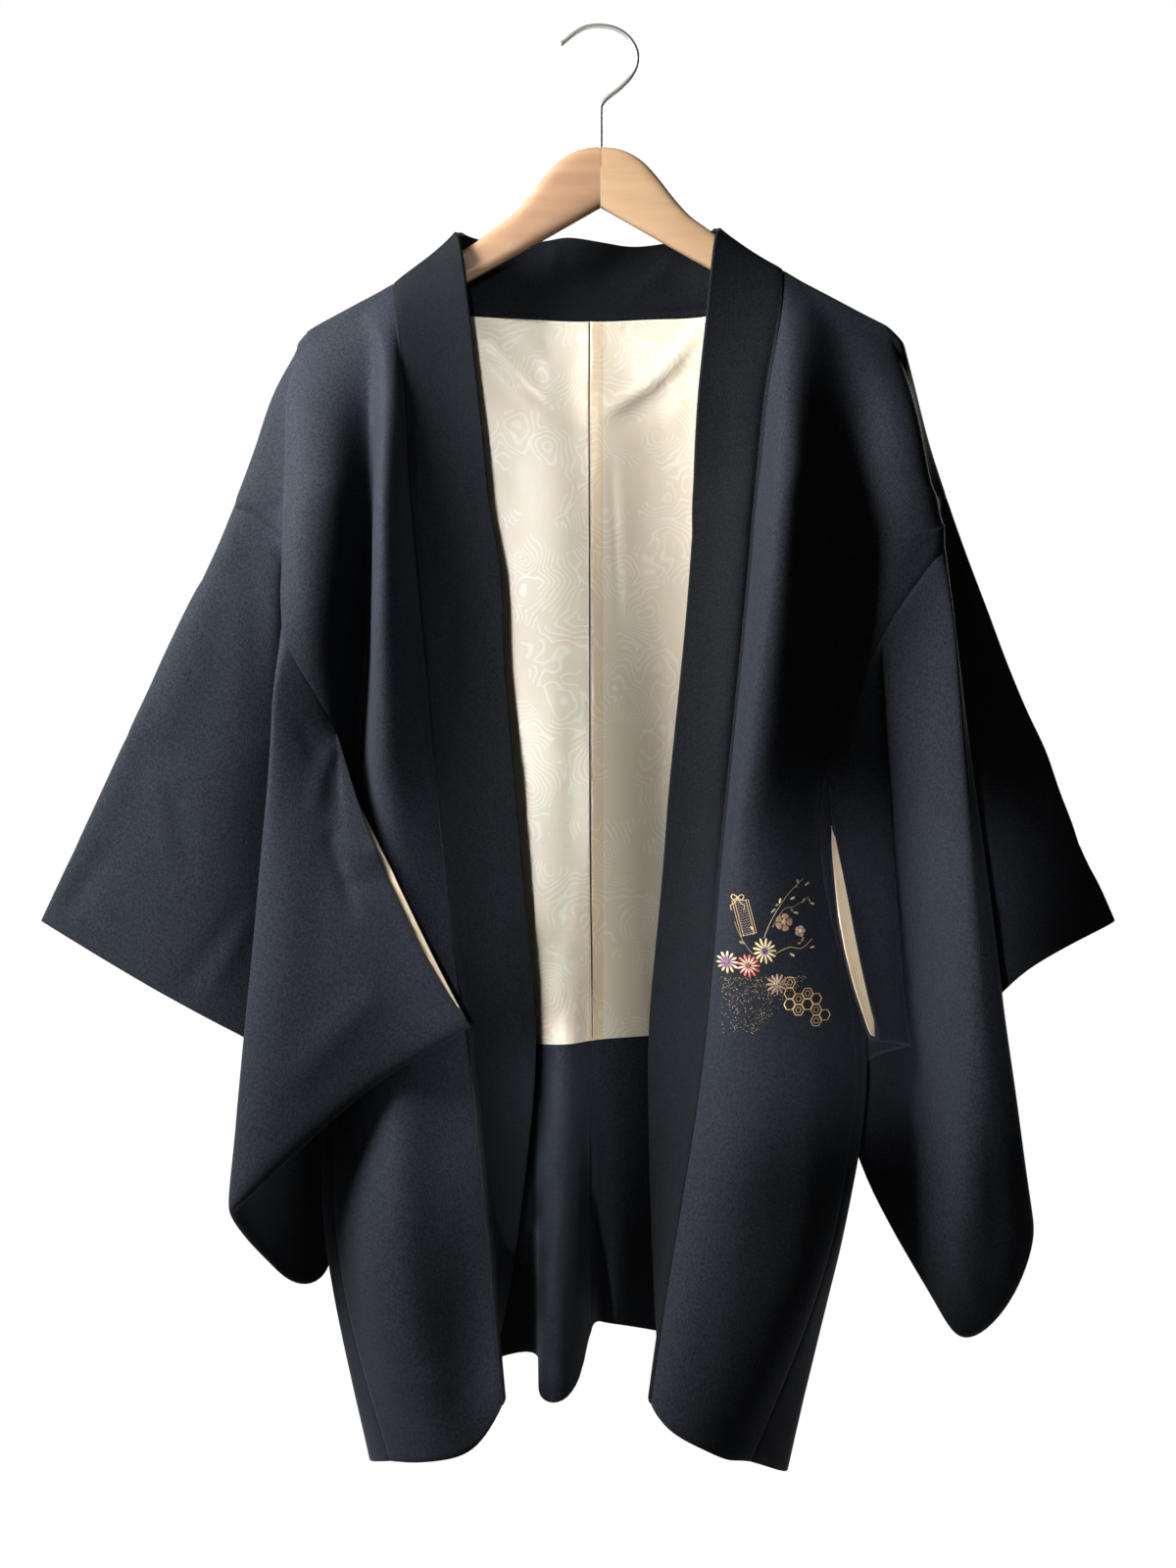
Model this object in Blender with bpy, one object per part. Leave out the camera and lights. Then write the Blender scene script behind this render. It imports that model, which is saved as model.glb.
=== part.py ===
"""A haori jacket hanging open on a wooden hanger.

Metres, +Z up, front of the jacket towards -Y, wearer's right towards -X. The
origin is the inside top of the hanger's hook, where a rail carries it.

The cloth is worked out first as one thin surface, row by row from the shoulder
to the hem. Each row crosses the same named folds, so the pieces that a maker
sews together share the points of their seam. The surface is then cut into the
pieces, parted at the seams and given its thickness.
"""
import math

import bmesh
import bpy
from mathutils import Vector

mm = 0.001
cloth_wall = 1.5 * mm
collar_wall = 3.0 * mm
lining_wall = 1.0 * mm
seam_gap = 0.44 * mm            # clear space between two pieces along their seam
rest_gap = 0.3 * mm             # clear space between the cloth and what carries it
lining_gap = 0.45 * mm          # clear space between a lining and the cloth under it
gusset_drop = 2.5 * mm          # how far a gusset's top stays below the end of the armhole
sharpest_mitre = 0.62           # keeps the corners of tight bends from running far out

arm_reach = 213 * mm            # half the hanger's width
arm_half_thick = 6.0 * mm
arm_crest = ((0, -87), (10, -88), (20, -91), (31, -98), (42, -110), (52, -123),
             (64, -136.5), (76, -145.5), (88, -154), (104, -164), (213, -222))
arm_under = ((0, -131), (60, -165), (104, -189), (160, -220), (213, -242))
arm_round = 7 * mm              # length of the rounded tip of an arm
wire_radius = 1.6 * mm
wood_hole_radius = wire_radius + rest_gap
stem_depth = 14 * mm            # how far the hook's stem enters the wood

centre_x = -8.3                 # the back's centre seam, mm

# Height of the centre back seam in each row, mm, from the neck to the hem.
centre_heights = (-206, -236, -274, -316, -345, -368, -395, -430, -490, -546,
                  -625, -742, -830, -905, -962)
neck_row = 3                    # the row where the centre back seam begins
hem_row = 17
lining_row = 14                 # the row where the back's lining is hemmed
shoulder_row = 6                # the row that ends at the shoulder's outer point

# How each of the first rows drops over the arm: y out from its middle and z down, mm.
drape = ((0, 0), (4.2, -0.75), (8.2, -4.25), (11.5, -13))
drape_share = 0.9               # how much of that drop the cloth keeps above the wood
tip_slope, tip_round = 0.4, 0.75                    # how the cloth falls off past the arm's tip
end_fade = {6: 0.95, 7: 0.9, 8: 0.75, 9: 0.0}       # y narrows over the arm's tip
end_lean = {7: 1.0, 8: 1.8, 9: 2.6}                 # x leans out over the arm's tip

# The folds that every row crosses, numbered from the collar outwards: collar seam,
# ridge, ridge back, valley, bulge, fold, step, flap, edge and top fold. The back's
# run from the centre seam at -4 past the collar's at 0 to the edge.
back_folds = (-4, -3, -2, -1, 0, 3, 4, 6, 8)
seam_fold, bulge_fold, top_fold = 0, 4, 9

# How far out each fold is where the cloth lies on the hanger's arm, mm.
shoulder_reach = {
    -1: {0: 149, 1: 162, 2: 171, 3: 178, 4: 197, 5: 207, 6: 211, 7: 215, 8: 219, 9: 221.5},
    1: {0: 131, 1: 144, 2: 154, 3: 169, 4: 190, 5: 203, 6: 208, 7: 212.5, 8: 217, 9: 219.5},
}

# One row each: height at the collar seam, height at the outer end, then x out
# and y (and a height of its own where the row bends) at each fold, mm.
right_front = {
    4: (-225, -268, (146, -27), (153, -42), (160, -40), (168, -19), (206, -34), (222, -28),
        (221, -20), (226, -12), (235, -4.5), (239, 0)),
    5: (-268, -306, (141, -35), (149, -68), (158, -64), (163, -28), (207, -58), (222, -50),
        (219, -32), (224, -14), (246, -5), (251, 0)),
    6: (-312, -345, (138, -41), (148, -78), (158, -74), (162, -32), (206, -70), (222, -62),
        (218, -38), (223, -15), (259, -5), (265, 0)),
    7: (-345, -352, (136, -45), (147, -81), (158, -77), (162, -34), (206, -74), (222, -67),
        (217, -41), (224, -14), (257, -6)),
    8: (-374, -374, (133, -47), (146, -83), (158, -79), (162, -36), (205, -78), (222, -71),
        (217, -43), (231, -12)),
    9: (-408, -408, (130, -49), (146, -85), (158, -81), (162, -37), (205, -80), (222, -74),
        (216, -46)),
    10: (-450, -450, (126, -52), (147, -87), (158, -83), (163, -38), (204, -81), (221, -76)),
    11: (-513, -513, (120, -57), (146, -84), (158, -80), (165, -42), (190, -66)),
    12: (-548, -548, (116, -60), (144, -78), (157, -74), (166, -46), (178, -46)),
    13: (-650, -650, (105, -67), (130, -75), (148, -74), (168, -52), (180, -44)),
    14: (-740, -740, (91, -77), (116, -86), (140, -88), (166, -68), (184, -52)),
    15: (-840, -840, (80, -95), (104, -110), (132, -112), (160, -95), (187, -66)),
    16: (-925, -925, (72, -106), (95, -119), (122, -120), (150, -104), (174, -74)),
    17: (-971, -1016, (67, -110), (84, -121, -997), (108, -122, -1006), (128, -108, -1012),
         (145, -92)),
}
left_front = {
    4: (-222, -262, (128, -25), (137, -44), (150, -45), (174, -18), (198, -22), (217, -27),
        (219, -18), (222, -11), (226, -4.5), (229, 0)),
    5: (-265, -302, (120, -34), (130, -69), (143, -70), (171, -25), (200, -38), (224, -45),
        (225, -30), (229, -16), (235, -5), (239, 0)),
    6: (-308, -340, (115, -41), (126, -79), (139, -80), (168, -29), (203, -46), (231, -55),
        (231, -36), (236, -18), (246, -6), (251, 0)),
    7: (-335, -347, (112, -44), (122, -82), (135, -82), (166, -31), (203, -50), (235, -58),
        (234, -38), (239, -20), (247, -7)),
    8: (-352, -360, (110, -46), (120, -83), (133, -83), (165, -32), (203, -52), (237, -60),
        (236, -40), (243, -22)),
    9: (-370, -374, (108, -47), (118, -84), (132, -83), (165, -33), (203, -53), (239, -62),
        (240, -42)),
    10: (-386, -388, (107, -48), (117, -85), (131, -84), (164, -34), (203, -54), (239, -64)),
    11: (-447, -447, (101, -52), (111, -86), (126, -84), (161, -38), (198, -52)),
    12: (-544, -544, (91, -58), (100, -86), (116, -84), (144, -51), (159, -58)),
    13: (-610, -610, (84, -63), (95, -83), (113, -84), (143, -55), (161, -45)),
    14: (-720, -720, (73, -76), (88, -91), (110, -93), (149, -76), (177, -51)),
    15: (-800, -800, (61, -90), (80, -105), (106, -107), (146, -92), (173, -60)),
    16: (-900, -900, (44, -101), (62, -116), (92, -118), (128, -102), (147, -78)),
    17: (-970, -1013, (33, -111), (45, -121, -986), (64, -120, -998), (84, -108, -1009),
         (100, -95)),
}
# Height at the outer end, then x out and y from the centre seam outwards, mm.
right_back = {
    3: (0, (-centre_x, 35), (28, 35), (50, 34), (99, 29)),
    4: (-268, (-centre_x, 39), (28, 39), (50, 38), (98, 33), (143, 26), (185, 19), (204, 16),
        (222, 12), (233, 5)),
    5: (-306, (-centre_x, 42), (27, 41), (48, 41), (95, 35), (140, 28), (182, 20), (204, 17),
        (226, 13), (245, 5)),
    6: (-345, (-centre_x, 44), (26, 42), (46, 42), (92, 37), (137, 29), (179, 20), (204, 17),
        (229, 14), (258, 5)),
    7: (-360, (-centre_x, 45), (25, 42), (44, 42), (90, 38), (134, 30), (177, 20), (204, 16),
        (232, 13), (257, 6)),
    8: (-386, (-centre_x, 45), (25, 42), (44, 42), (89, 38), (132, 29), (176, 18), (203, 13),
        (226, 8), (240, 4)),
    9: (-418, (-centre_x, 45), (25, 42), (44, 42), (88, 38), (131, 27), (174, 14), (200, 6),
        (213, -8)),
    10: (-458, (-centre_x, 45), (25, 41), (43, 41), (87, 37), (129, 23), (171, 6), (194, -8),
         (206, -28)),
    11: (-513, (-centre_x, 44), (24, 40), (42, 40), (86, 34), (126, 15), (167, -9), (198, -54)),
    12: (-548, (-centre_x, 44), (24, 39), (42, 39), (83, 33), (125, 12), (165, -10), (187, -29)),
    13: (-650, (-centre_x, 43), (24, 33), (42, 35), (78, 30), (122, 6), (164, -11), (189, -26)),
    14: (-745, (-centre_x, 42), (24, 20), (43, 25), (76, 28), (120, 5), (163, -11), (190, -25)),
    15: (-840, (-centre_x, 44), (23, -8), (43, 3), (75, 26), (120, 4), (162, -10), (188, -28)),
    16: (-925, (-centre_x, 47), (22, -38), (42, -25), (76, 24), (116, 7), (154, -8), (177, -31)),
    17: (-1026, (-centre_x, 52), (22, -64, -976), (38, -54, -976), (79, 22, -970), (110, 14, -988),
         (138, -8, -1012), (160, -38)),
}
left_back = {
    3: (0, (centre_x, 35), (15, 35), (45, 34), (85, 29)),
    4: (-262, (centre_x, 39), (15, 39), (44, 38), (84, 33), (126, 27), (172, 20), (196, 16),
        (216, 11), (225, 5)),
    5: (-302, (centre_x, 42), (14, 42), (42, 41), (82, 35), (122, 29), (170, 21), (196, 17),
        (222, 12), (234, 5)),
    6: (-340, (centre_x, 44), (14, 44), (40, 42), (80, 37), (119, 30), (168, 21), (196, 17),
        (228, 13), (246, 6)),
    7: (-354, (centre_x, 45), (14, 45), (40, 43), (79, 38), (117, 30), (167, 21), (196, 16),
        (228, 13), (246, 7)),
    8: (-374, (centre_x, 45), (14, 46), (39, 43), (79, 38), (116, 30), (166, 20), (196, 15),
        (226, 11), (239, 5)),
    9: (-398, (centre_x, 45), (14, 46), (39, 43), (78, 39), (115, 29), (165, 18), (196, 12),
        (230, 0)),
    10: (-424, (centre_x, 45), (14, 46), (38, 43), (77, 39), (113, 28), (163, 15), (194, 7),
         (220, -8)),
    11: (-470, (centre_x, 45), (14, 46), (38, 43), (76, 38), (110, 24), (160, 7), (194, -20)),
    12: (-544, (centre_x, 44), (14, 46), (37, 43), (73, 37), (107, 16), (147, -10), (167, -48)),
    13: (-610, (centre_x, 43), (14, 47), (37, 44), (71, 36), (106, 13), (147, -9), (168, -27)),
    14: (-735, (centre_x, 42), (14, 50), (37, 47), (71, 37), (107, 11), (151, -7), (180, -26)),
    15: (-815, (centre_x, 44), (12, 60), (36, 57), (71, 43), (106, 14), (147, -6), (174, -29)),
    16: (-905, (centre_x, 47), (8, 78), (33, 71), (70, 51), (103, 20), (132, -4), (152, -34)),
    17: (-1030, (centre_x, 52), (4, 90, -966), (30, 80, -967), (68, 56, -972), (98, 22, -992),
         (116, -8, -1014), (128, -42)),
}
# The collar's folded edge: x out, y and z in each front row from the shoulder.
right_collar_front = ((105, 0, -150), (105, -5, -151), (104, -10, -155), (101, -14, -166),
                      (94, -21, -222), (89, -26, -267), (84, -29, -312), (81, -31, -345),
                      (76, -33, -374), (71, -35, -408), (70, -38, -450), (65, -42, -513),
                      (59, -45, -580), (53, -47, -650), (47, -46, -740), (56, -42, -836),
                      (68, -40, -916), (77, -42, -958))
left_collar_front = ((86, 0, -147), (86, -5, -148), (85, -10, -152), (82, -14, -162),
                     (76, -19, -220), (71, -25, -264), (68, -29, -308), (67, -30, -335),
                     (66, -31, -352), (66, -32, -370), (65, -33, -386), (60, -37, -447),
                     (50, -42, -544), (44, -45, -620), (35, -47, -720), (35, -46, -798),
                     (38, -43, -894), (41, -42, -952))
# The same edge behind the neck, from the shoulder to the centre back seam.
right_collar_back = ((103, 5, -149), (101, 10, -148), (97, 15, -149), (75, 24, -152),
                     (42, 30, -149), (26, 31, -146), (-centre_x, 31, -148))
left_collar_back = ((84, 5, -146), (83, 9, -145), (80, 14, -146), (62, 25, -149),
                    (30, 30, -153), (10, 31, -151), (centre_x, 31, -148))
# The gusset's middle, from the end of the armhole to the hem: x out, y, z.
right_gusset = {11: (193, -59, -516), 12: (184, -38, -548), 13: (188, -35, -650),
                14: (192, -38, -742), 15: (197, -46, -840), 16: (185, -53, -925),
                17: (160, -66, -1024)}
left_gusset = {12: (163, -52, -548), 13: (167, -37, -610), 14: (184, -38, -727),
               15: (183, -44, -806), 16: (162, -56, -902), 17: (127, -70, -1030)}
# A sleeve's lines run from the armhole to its far edge. One row each: the fold on
# the armhole where it starts, its middle, its end, the space between the sleeve's
# two layers there (mm, mid to mid), and whether the end is sewn shut.
right_sleeve = (
    ("furi", 4, (144, -94, -628), (91, -102, -716), 6, True),
    ("front one", 4, (165, -100, -649), (149, -105, -752), 7, True),
    ("front two", 4, (196, -103, -664), (204, -107, -798), 9, True),
    ("fold front", 5, (228, -101, -668), (244, -104, -835), 9, True),
    ("fold tip", 5, (240, -88, -670), (257, -90, -846), 7, True),
    ("fold back", 6, (236, -62, -668), (250, -64, -868), 7, True),
    ("step", 6, (230, -34, -658), (236, -38, -892), 7, True),
    ("corner", 6, (222, -10, -640), (216, -14, -909), 6, True),
    ("hollow", 7, (216, 14, -612), (198, 8, -868), 6, True),
    ("hollow back", 7, (230, 25, -585), (226, 24, -775), 9, False),
    ("flap one", 7, (262, 20, -560), (275, 18, -732), 12, False),
    ("flap two", 8, (297, 10, -530), (340, 7, -693), 12, False),
    ("edge", 8, (329, -3, -497), (403, -3, -656), 7, False),
    ("top fold", 9, (333, 1, -492), (409, 1, -653), 6, False),
)
left_sleeve = (
    ("furi", 4, (187, -84, -650), (193, -88, -731), 7, True),
    ("pleat face", 4, (198, -74, -655), (204, -76, -733), 6, True),
    ("pleat tip", 10, (206, -58, -655), (214, -60, -738), 5, True),
    ("pleat back", 10, (197, -36, -668), (193, -32, -758), 4, True),
    ("tube start", 10, (212, -32, -682), (200, -26, -835), 4, True),
    ("tube", 10, (234, -78, -690), (229, -62, -905), 6, True),
    ("corner", 5, (252, -92, -690), (254, -62, -940), 10, True),
    ("fold front", 5, (266, -91, -692), (286, -68, -914), 10, True),
    ("fold tip", 5, (277, -78, -692), (303, -62, -868), 7, True),
    ("fold back", 6, (273, -52, -690), (297, -38, -850), 7, True),
    ("step", 6, (265, -26, -675), (280, -14, -822), 7, False),
    ("hollow", 7, (262, 0, -640), (262, 6, -778), 7, False),
    ("hollow back", 7, (274, 11, -600), (276, 13, -724), 9, False),
    ("flap", 8, (292, 6, -545), (318, 5, -683), 12, False),
    ("edge", 8, (300, -3, -492), (367, -3, -655), 7, False),
    ("top fold", 9, (305, 1, -487), (373, 1, -651), 6, False),
)
sleeve_stations = (0.3, 0.5, 0.7, 0.87, 0.985, 1.0)
seam_reach = 0.65               # how far down a sleeve its back layer still leans to its own seam
furi_show = 6 * mm              # how far a sleeve's back layer shows beyond the front one
# The hook's wire, from its free tip round to the foot of its stem: x and z, mm.
hook_route = ((-29.5, -12.2), (-25, -8.6), (-18.5, -3.4), (-10.5, 0.6), (0, 1.6), (11, -0.6),
              (20, -6.6), (25.6, -15.5), (26.6, -25), (22.6, -34.6), (14, -43.8), (5.5, -50.5),
              (1.0, -55.5), (0, -61), (0, -78), (0, -101))

colours = {
    "cloth": ((0.034, 0.040, 0.048, 1), 0.7, 0.0),
    "collar": ((0.028, 0.033, 0.040, 1), 0.7, 0.0),
    "lining": ((0.76, 0.72, 0.62, 1), 0.5, 0.0),
    "right_wood": ((0.72, 0.48, 0.30, 1), 0.5, 0.0),
    "left_wood": ((0.78, 0.55, 0.36, 1), 0.5, 0.0),
    "steel": ((0.72, 0.70, 0.67, 1), 0.3, 1.0),
}


def clear_scene():
    for item in list(bpy.data.objects):
        bpy.data.objects.remove(item, do_unlink=True)


def material(name):
    """A plain material with the part's colour, roughness and metallic value."""
    found = bpy.data.materials.get(name)
    if found:
        return found
    made = bpy.data.materials.new(name)
    made.use_nodes = True
    shader = made.node_tree.nodes["Principled BSDF"]
    colour, roughness, metallic = colours[name]
    shader.inputs["Base Color"].default_value = colour
    shader.inputs["Roughness"].default_value = roughness
    shader.inputs["Metallic"].default_value = metallic
    return made


def along(table, reach):
    """Read a height from a table of (distance, height) pairs, both in mm."""
    for (near, low), (far, high) in zip(table, table[1:]):
        if reach <= far:
            return low + (high - low) * (reach - near) / (far - near)
    return table[-1][1]


def smooth_between(points, steps):
    """Points on a smooth curve through the given ones, with steps to each span."""
    made = []
    for i in range(len(points) - 1):
        before = points[max(i - 1, 0)]
        after = points[min(i + 2, len(points) - 1)]
        for k in range(steps):
            t = k / steps
            start_pull = (points[i + 1] - before) * 0.5
            end_pull = (after - points[i]) * 0.5
            made.append(points[i] * (2 * t ** 3 - 3 * t ** 2 + 1) + start_pull * (t ** 3 - 2 * t ** 2 + t)
                        + points[i + 1] * (3 * t ** 2 - 2 * t ** 3) + end_pull * (t ** 3 - t ** 2))
    return made + [points[-1]]


class Sheet:
    """A thin surface made of labelled faces, before it is cut and thickened."""

    def __init__(self):
        self.points = []
        self.faces = []

    def add(self, point):
        self.points.append(Vector(point))
        return len(self.points) - 1

    def face(self, corners, label):
        if len(set(corners)) > 2:
            self.faces.append((corners, label))

    def strip(self, upper, lower, label):
        """Faces between two rows; each row maps a fold's number to its point."""
        shared = sorted(key for key in upper if key in lower)
        for near, far in zip(shared, shared[1:]):
            top = [upper[key] for key in sorted(upper) if near <= key <= far]
            bottom = [lower[key] for key in sorted(lower) if near <= key <= far]
            self.face(top + bottom[::-1], label)
        last = shared[-1]
        for longer, other in ((upper, lower), (lower, upper)):
            beyond = [longer[key] for key in sorted(longer) if key >= last]
            if len(beyond) > 1:
                self.face(beyond + [other[last]], label)


def with_halves(row):
    """Add a point between each pair of neighbours, on a smooth curve through them."""
    keys = sorted(row)
    full = dict(row)
    for i in range(len(keys) - 1):
        near, far = row[keys[i]], row[keys[i + 1]]
        before = row[keys[i - 1]] if i else near * 2 - far
        after = row[keys[i + 2]] if i + 2 < len(keys) else far * 2 - near
        full[(keys[i] + keys[i + 1]) / 2] = (near + far) * 0.5625 - (before + after) * 0.0625
    return full


def shoulder_point(side, row, fold, reach):
    """A point of the cloth where it drapes over the hanger's arm, front or back."""
    wall = collar_wall if fold == seam_fold else cloth_wall
    over, down = drape[row]
    over *= end_fade.get(fold, 1.0)
    lean = row * end_lean.get(fold, 0.0)
    crest = along(arm_crest, min(reach, arm_reach / mm))
    beyond = max(0.0, reach - arm_reach / mm)
    rise = (rest_gap + wall / 2) / mm
    drop = beyond * tip_slope + max(beyond * tip_round, -down * drape_share)
    return Vector((side * (reach + lean) * mm, over * mm, (crest + rise - drop) * mm))


def front_row_points(side, row, table):
    inner_z, outer_z, stations = table[row][0], table[row][1], table[row][2:]
    inner_x, outer_x = stations[0][0], stations[-1][0]
    points = {}
    for fold, station in enumerate(stations):
        share = (station[0] - inner_x) / (outer_x - inner_x)
        z = station[2] if len(station) == 3 else inner_z + (outer_z - inner_z) * share
        points[fold] = Vector((side * station[0], station[1], z)) * mm
    return points


def back_row_points(side, row, table):
    outer_z, stations = table[row][0], table[row][1:]
    middle_z = centre_heights[row - neck_row]
    inner_x, outer_x = stations[0][0], stations[-1][0]
    if row == neck_row:
        outer_z = middle_z + 4
    points = {}
    for fold, station in zip(back_folds, stations):
        share = (station[0] - inner_x) / (outer_x - inner_x)
        z = station[2] if len(station) == 3 else middle_z + (outer_z - middle_z) * share
        points[fold] = Vector((side * station[0], station[1], z)) * mm
    return points


def body_rows(sheet, side, front_table, back_table, centre_seam):
    """The points of one half's front and back, row by row; they share the shoulder."""
    front, back = [], []
    for row in range(hem_row + 1):
        if row <= neck_row:
            reach = shoulder_reach[side]
            points = {fold: shoulder_point(side, row, fold, reach[fold]) for fold in reach}
            behind = {fold: points[fold].copy() for fold in back_folds if fold >= 0}
            for point in points.values():
                point.y = -point.y
            if row == neck_row:
                behind.update(back_row_points(side, row, back_table))
        else:
            points = front_row_points(side, row, front_table)
            behind = back_row_points(side, row, back_table)
        front.append({fold: sheet.add(point) for fold, point in with_halves(points).items()})
        if row == 0:
            back.append(dict(front[0]))
            continue
        made = {fold: sheet.add(point) for fold, point in behind.items() if fold != back_folds[0]}
        if row <= shoulder_row:
            made[top_fold] = front[row][top_fold]
        if row >= neck_row:
            if row not in centre_seam:
                centre_seam[row] = sheet.add(behind[back_folds[0]])
            made[back_folds[0]] = centre_seam[row]
        back.append(made)
    return front, back


def add_body(sheet, front, back, name):
    for row in range(hem_row):
        sheet.strip(front[row], front[row + 1], "front_" + name)
        sheet.strip(back[row], back[row + 1], "back_" + name)


def add_gusset(sheet, side, front, back, middles, name):
    rows = []
    for row in sorted(middles):
        x, y, z = middles[row]
        middle = sheet.add(Vector((side * x, y, z)) * mm)
        rows.append({0: front[row][bulge_fold], 1: middle, 2: back[row][bulge_fold]})
    for upper, lower in zip(rows, rows[1:]):
        sheet.strip(upper, lower, "gusset_" + name)


def collar_stations(sheet, side, front, back, front_edge, back_edge):
    """The collar's seam, middle and folded edge, from the hem up to behind the neck."""
    seams = [front[row][seam_fold] for row in range(hem_row, -1, -1)]
    edges = [front_edge[row] for row in range(hem_row, -1, -1)]
    seams += [back[row][seam_fold] for row in (1, 2, 3)]
    seams += [back[neck_row][fold] for fold in (-1, -2, -3, -4)]
    edges += list(back_edge)
    stations = []
    for seam, (x, y, z) in zip(seams, edges):
        edge = Vector((side * x, y, z)) * mm
        middle = (sheet.points[seam] + edge) / 2
        stations.append((seam, middle, edge))
    return stations


def add_collar(sheet, right_half, left_half):
    """One band: up the right front, round the neck and down the left front."""
    path = right_half + left_half[-2::-1]
    rows = [{0: seam, 1: sheet.add(middle), 2: sheet.add(edge)} for seam, middle, edge in path]
    for near, far in zip(rows, rows[1:]):
        sheet.strip(near, far, "collar")


def armhole(rows, end_row, is_front):
    """The points of an armhole's seam, by the number of the fold that ends there."""
    folds = {9: 9, 8: 8, 7: 7, 6: 6, 5: 5} if is_front else {9: 9, 8: 8, 7: 8, 6: 6, 5: 6}
    found = {fold: rows[shoulder_row + top_fold - fold][column] for fold, column in folds.items()}
    found[4] = rows[end_row][bulge_fold]
    if end_row > 11:
        found[10] = rows[11][bulge_fold]
    return found


def sleeve_surface(sheet, side, lines, seam):
    """The front layer's points as rows of stations, and the way each one faces."""
    rows = []
    for share in sleeve_stations:
        row = {}
        for number, (_, start, middle, end, _, _) in enumerate(lines):
            first = sheet.points[seam[start]]
            middle = Vector((side * middle[0], middle[1], middle[2])) * mm
            end = Vector((side * end[0], end[1], end[2])) * mm
            pull = middle * 2 - (first + end) / 2
            row[number] = (first * (1 - share) ** 2 + pull * 2 * share * (1 - share)
                           + end * share ** 2)
        rows.append(with_halves(row))
    starts = {key: sheet.points[seam[lines[int(key)][1]]] for key in rows[0]}
    facings = []
    for station, row in enumerate(rows):
        before = rows[station - 1] if station else starts
        after = rows[min(station + 1, len(rows) - 1)]
        facing = {}
        for key, point in row.items():
            left, right = row.get(key - 0.5, point), row.get(key + 0.5, point)
            normal = (after[key] - before[key]).cross(right - left).normalized() * side
            if key - 0.5 in row and key + 0.5 in row:
                bend = (point - left).normalized().dot((right - point).normalized())
                normal *= 1 / max(0.66, math.sqrt(max(0.0, (1 + bend) / 2)))
            facing[key] = normal
        facings.append(facing)
    return rows, facings


def add_sleeve(sheet, side, lines, front_seam, back_seam, name):
    """Two layers, joined along the top fold, the bottom and the lower part of the cuff."""
    label = "sleeve_" + name
    rows, facings = sleeve_surface(sheet, side, lines, front_seam)
    last = len(lines) - 1
    seam_widths = [sheet.points[back_seam[line[1]]] - sheet.points[front_seam[line[1]]] for line in lines]
    fronts, backs = [], []
    for station, (row, facing) in enumerate(zip(rows, facings)):
        share = sleeve_stations[station]
        front, back = {}, {}
        for key, point in row.items():
            near, far = lines[int(key)], lines[math.ceil(key)]
            shut = near[5] and far[5]
            inward = -facing[key] * (near[4] + far[4]) / 2 * mm
            if key == last:
                front[key] = back[key] = sheet.add(point)
            elif share == 1.0 and shut:
                front[key] = back[key] = sheet.add(point + inward / 2)
            else:
                front[key] = sheet.add(point)
                width = (seam_widths[int(key)] + seam_widths[math.ceil(key)]) / 2
                behind = point + inward + width * max(0.0, 1 - share / seam_reach) ** 3
                if key == 0:
                    outward = (row[0] - row[0.5]).normalized()
                    behind += outward * furi_show * 4 * share * (1 - share)
                back[key] = sheet.add(behind)
        fronts.append(front)
        backs.append(back)
    for layer, seam in ((fronts, front_seam), (backs, back_seam)):
        fan_from_seam(sheet, lines, seam, layer[0], label)
        for upper, lower in zip(layer, layer[1:]):
            sheet.strip(upper, lower, label)
    return backs


def fan_from_seam(sheet, lines, seam, row, label):
    """Faces from the armhole's points to the first row of stations."""
    for number in range(len(lines) - 1):
        near, far = seam[lines[number][1]], seam[lines[number + 1][1]]
        half = row[number + 0.5]
        sheet.face([near, row[number], half], label)
        if far != near:
            sheet.face([near, half, far], label)
        sheet.face([far, half, row[number + 1]], label)


def surface_mesh(sheet):
    """The sheet as one triangulated mesh whose faces all look outwards."""
    mesh = bmesh.new()
    for point in sheet.points:
        mesh.verts.new(point)
    mesh.verts.ensure_lookup_table()
    labels = sorted({label for _, label in sheet.faces})
    for corners, label in sheet.faces:
        face = mesh.faces.new([mesh.verts[i] for i in corners])
        face.material_index = labels.index(label)
    bmesh.ops.recalc_face_normals(mesh, faces=mesh.faces)
    bmesh.ops.triangulate(mesh, faces=mesh.faces, quad_method="SHORT_EDGE", ngon_method="BEAUTY")
    mesh.verts.ensure_lookup_table()
    mesh.normal_update()
    return mesh, labels


def face_outwards(mesh, sample, direction):
    if mesh.verts[sample].normal.dot(direction) < 0:
        bmesh.ops.reverse_faces(mesh, faces=mesh.faces)
        mesh.normal_update()


def mitre(vertex):
    """How much further a bend's points move so that its faces keep their distance."""
    flattest = min(face.normal.dot(vertex.normal) for face in vertex.link_faces)
    return 1 / max(sharpest_mitre, flattest)


def seam_shift(vertex, faces, parting):
    """How far a point moves into its own piece, away from the seams it lies on."""
    pulls = []
    for edge in vertex.link_edges:
        own = [face for face in edge.link_faces if face in faces]
        if len(own) != 1 or len(edge.link_faces) < 2:
            continue
        face = own[0]
        run = (edge.verts[1].co - edge.verts[0].co).normalized()
        pull = face.normal.cross(run)
        if pull.dot(face.calc_center_median() - edge.verts[0].co) < 0:
            pull = -pull
        pull -= vertex.normal * pull.dot(vertex.normal)
        pulls.append(pull.normalized())
    if not pulls:
        return Vector()
    if len(pulls) == 1:
        return pulls[0] * parting
    first, second = pulls[0], pulls[-1]
    return (first + second) / max(0.35, 1 + first.dot(second)) * parting


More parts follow.
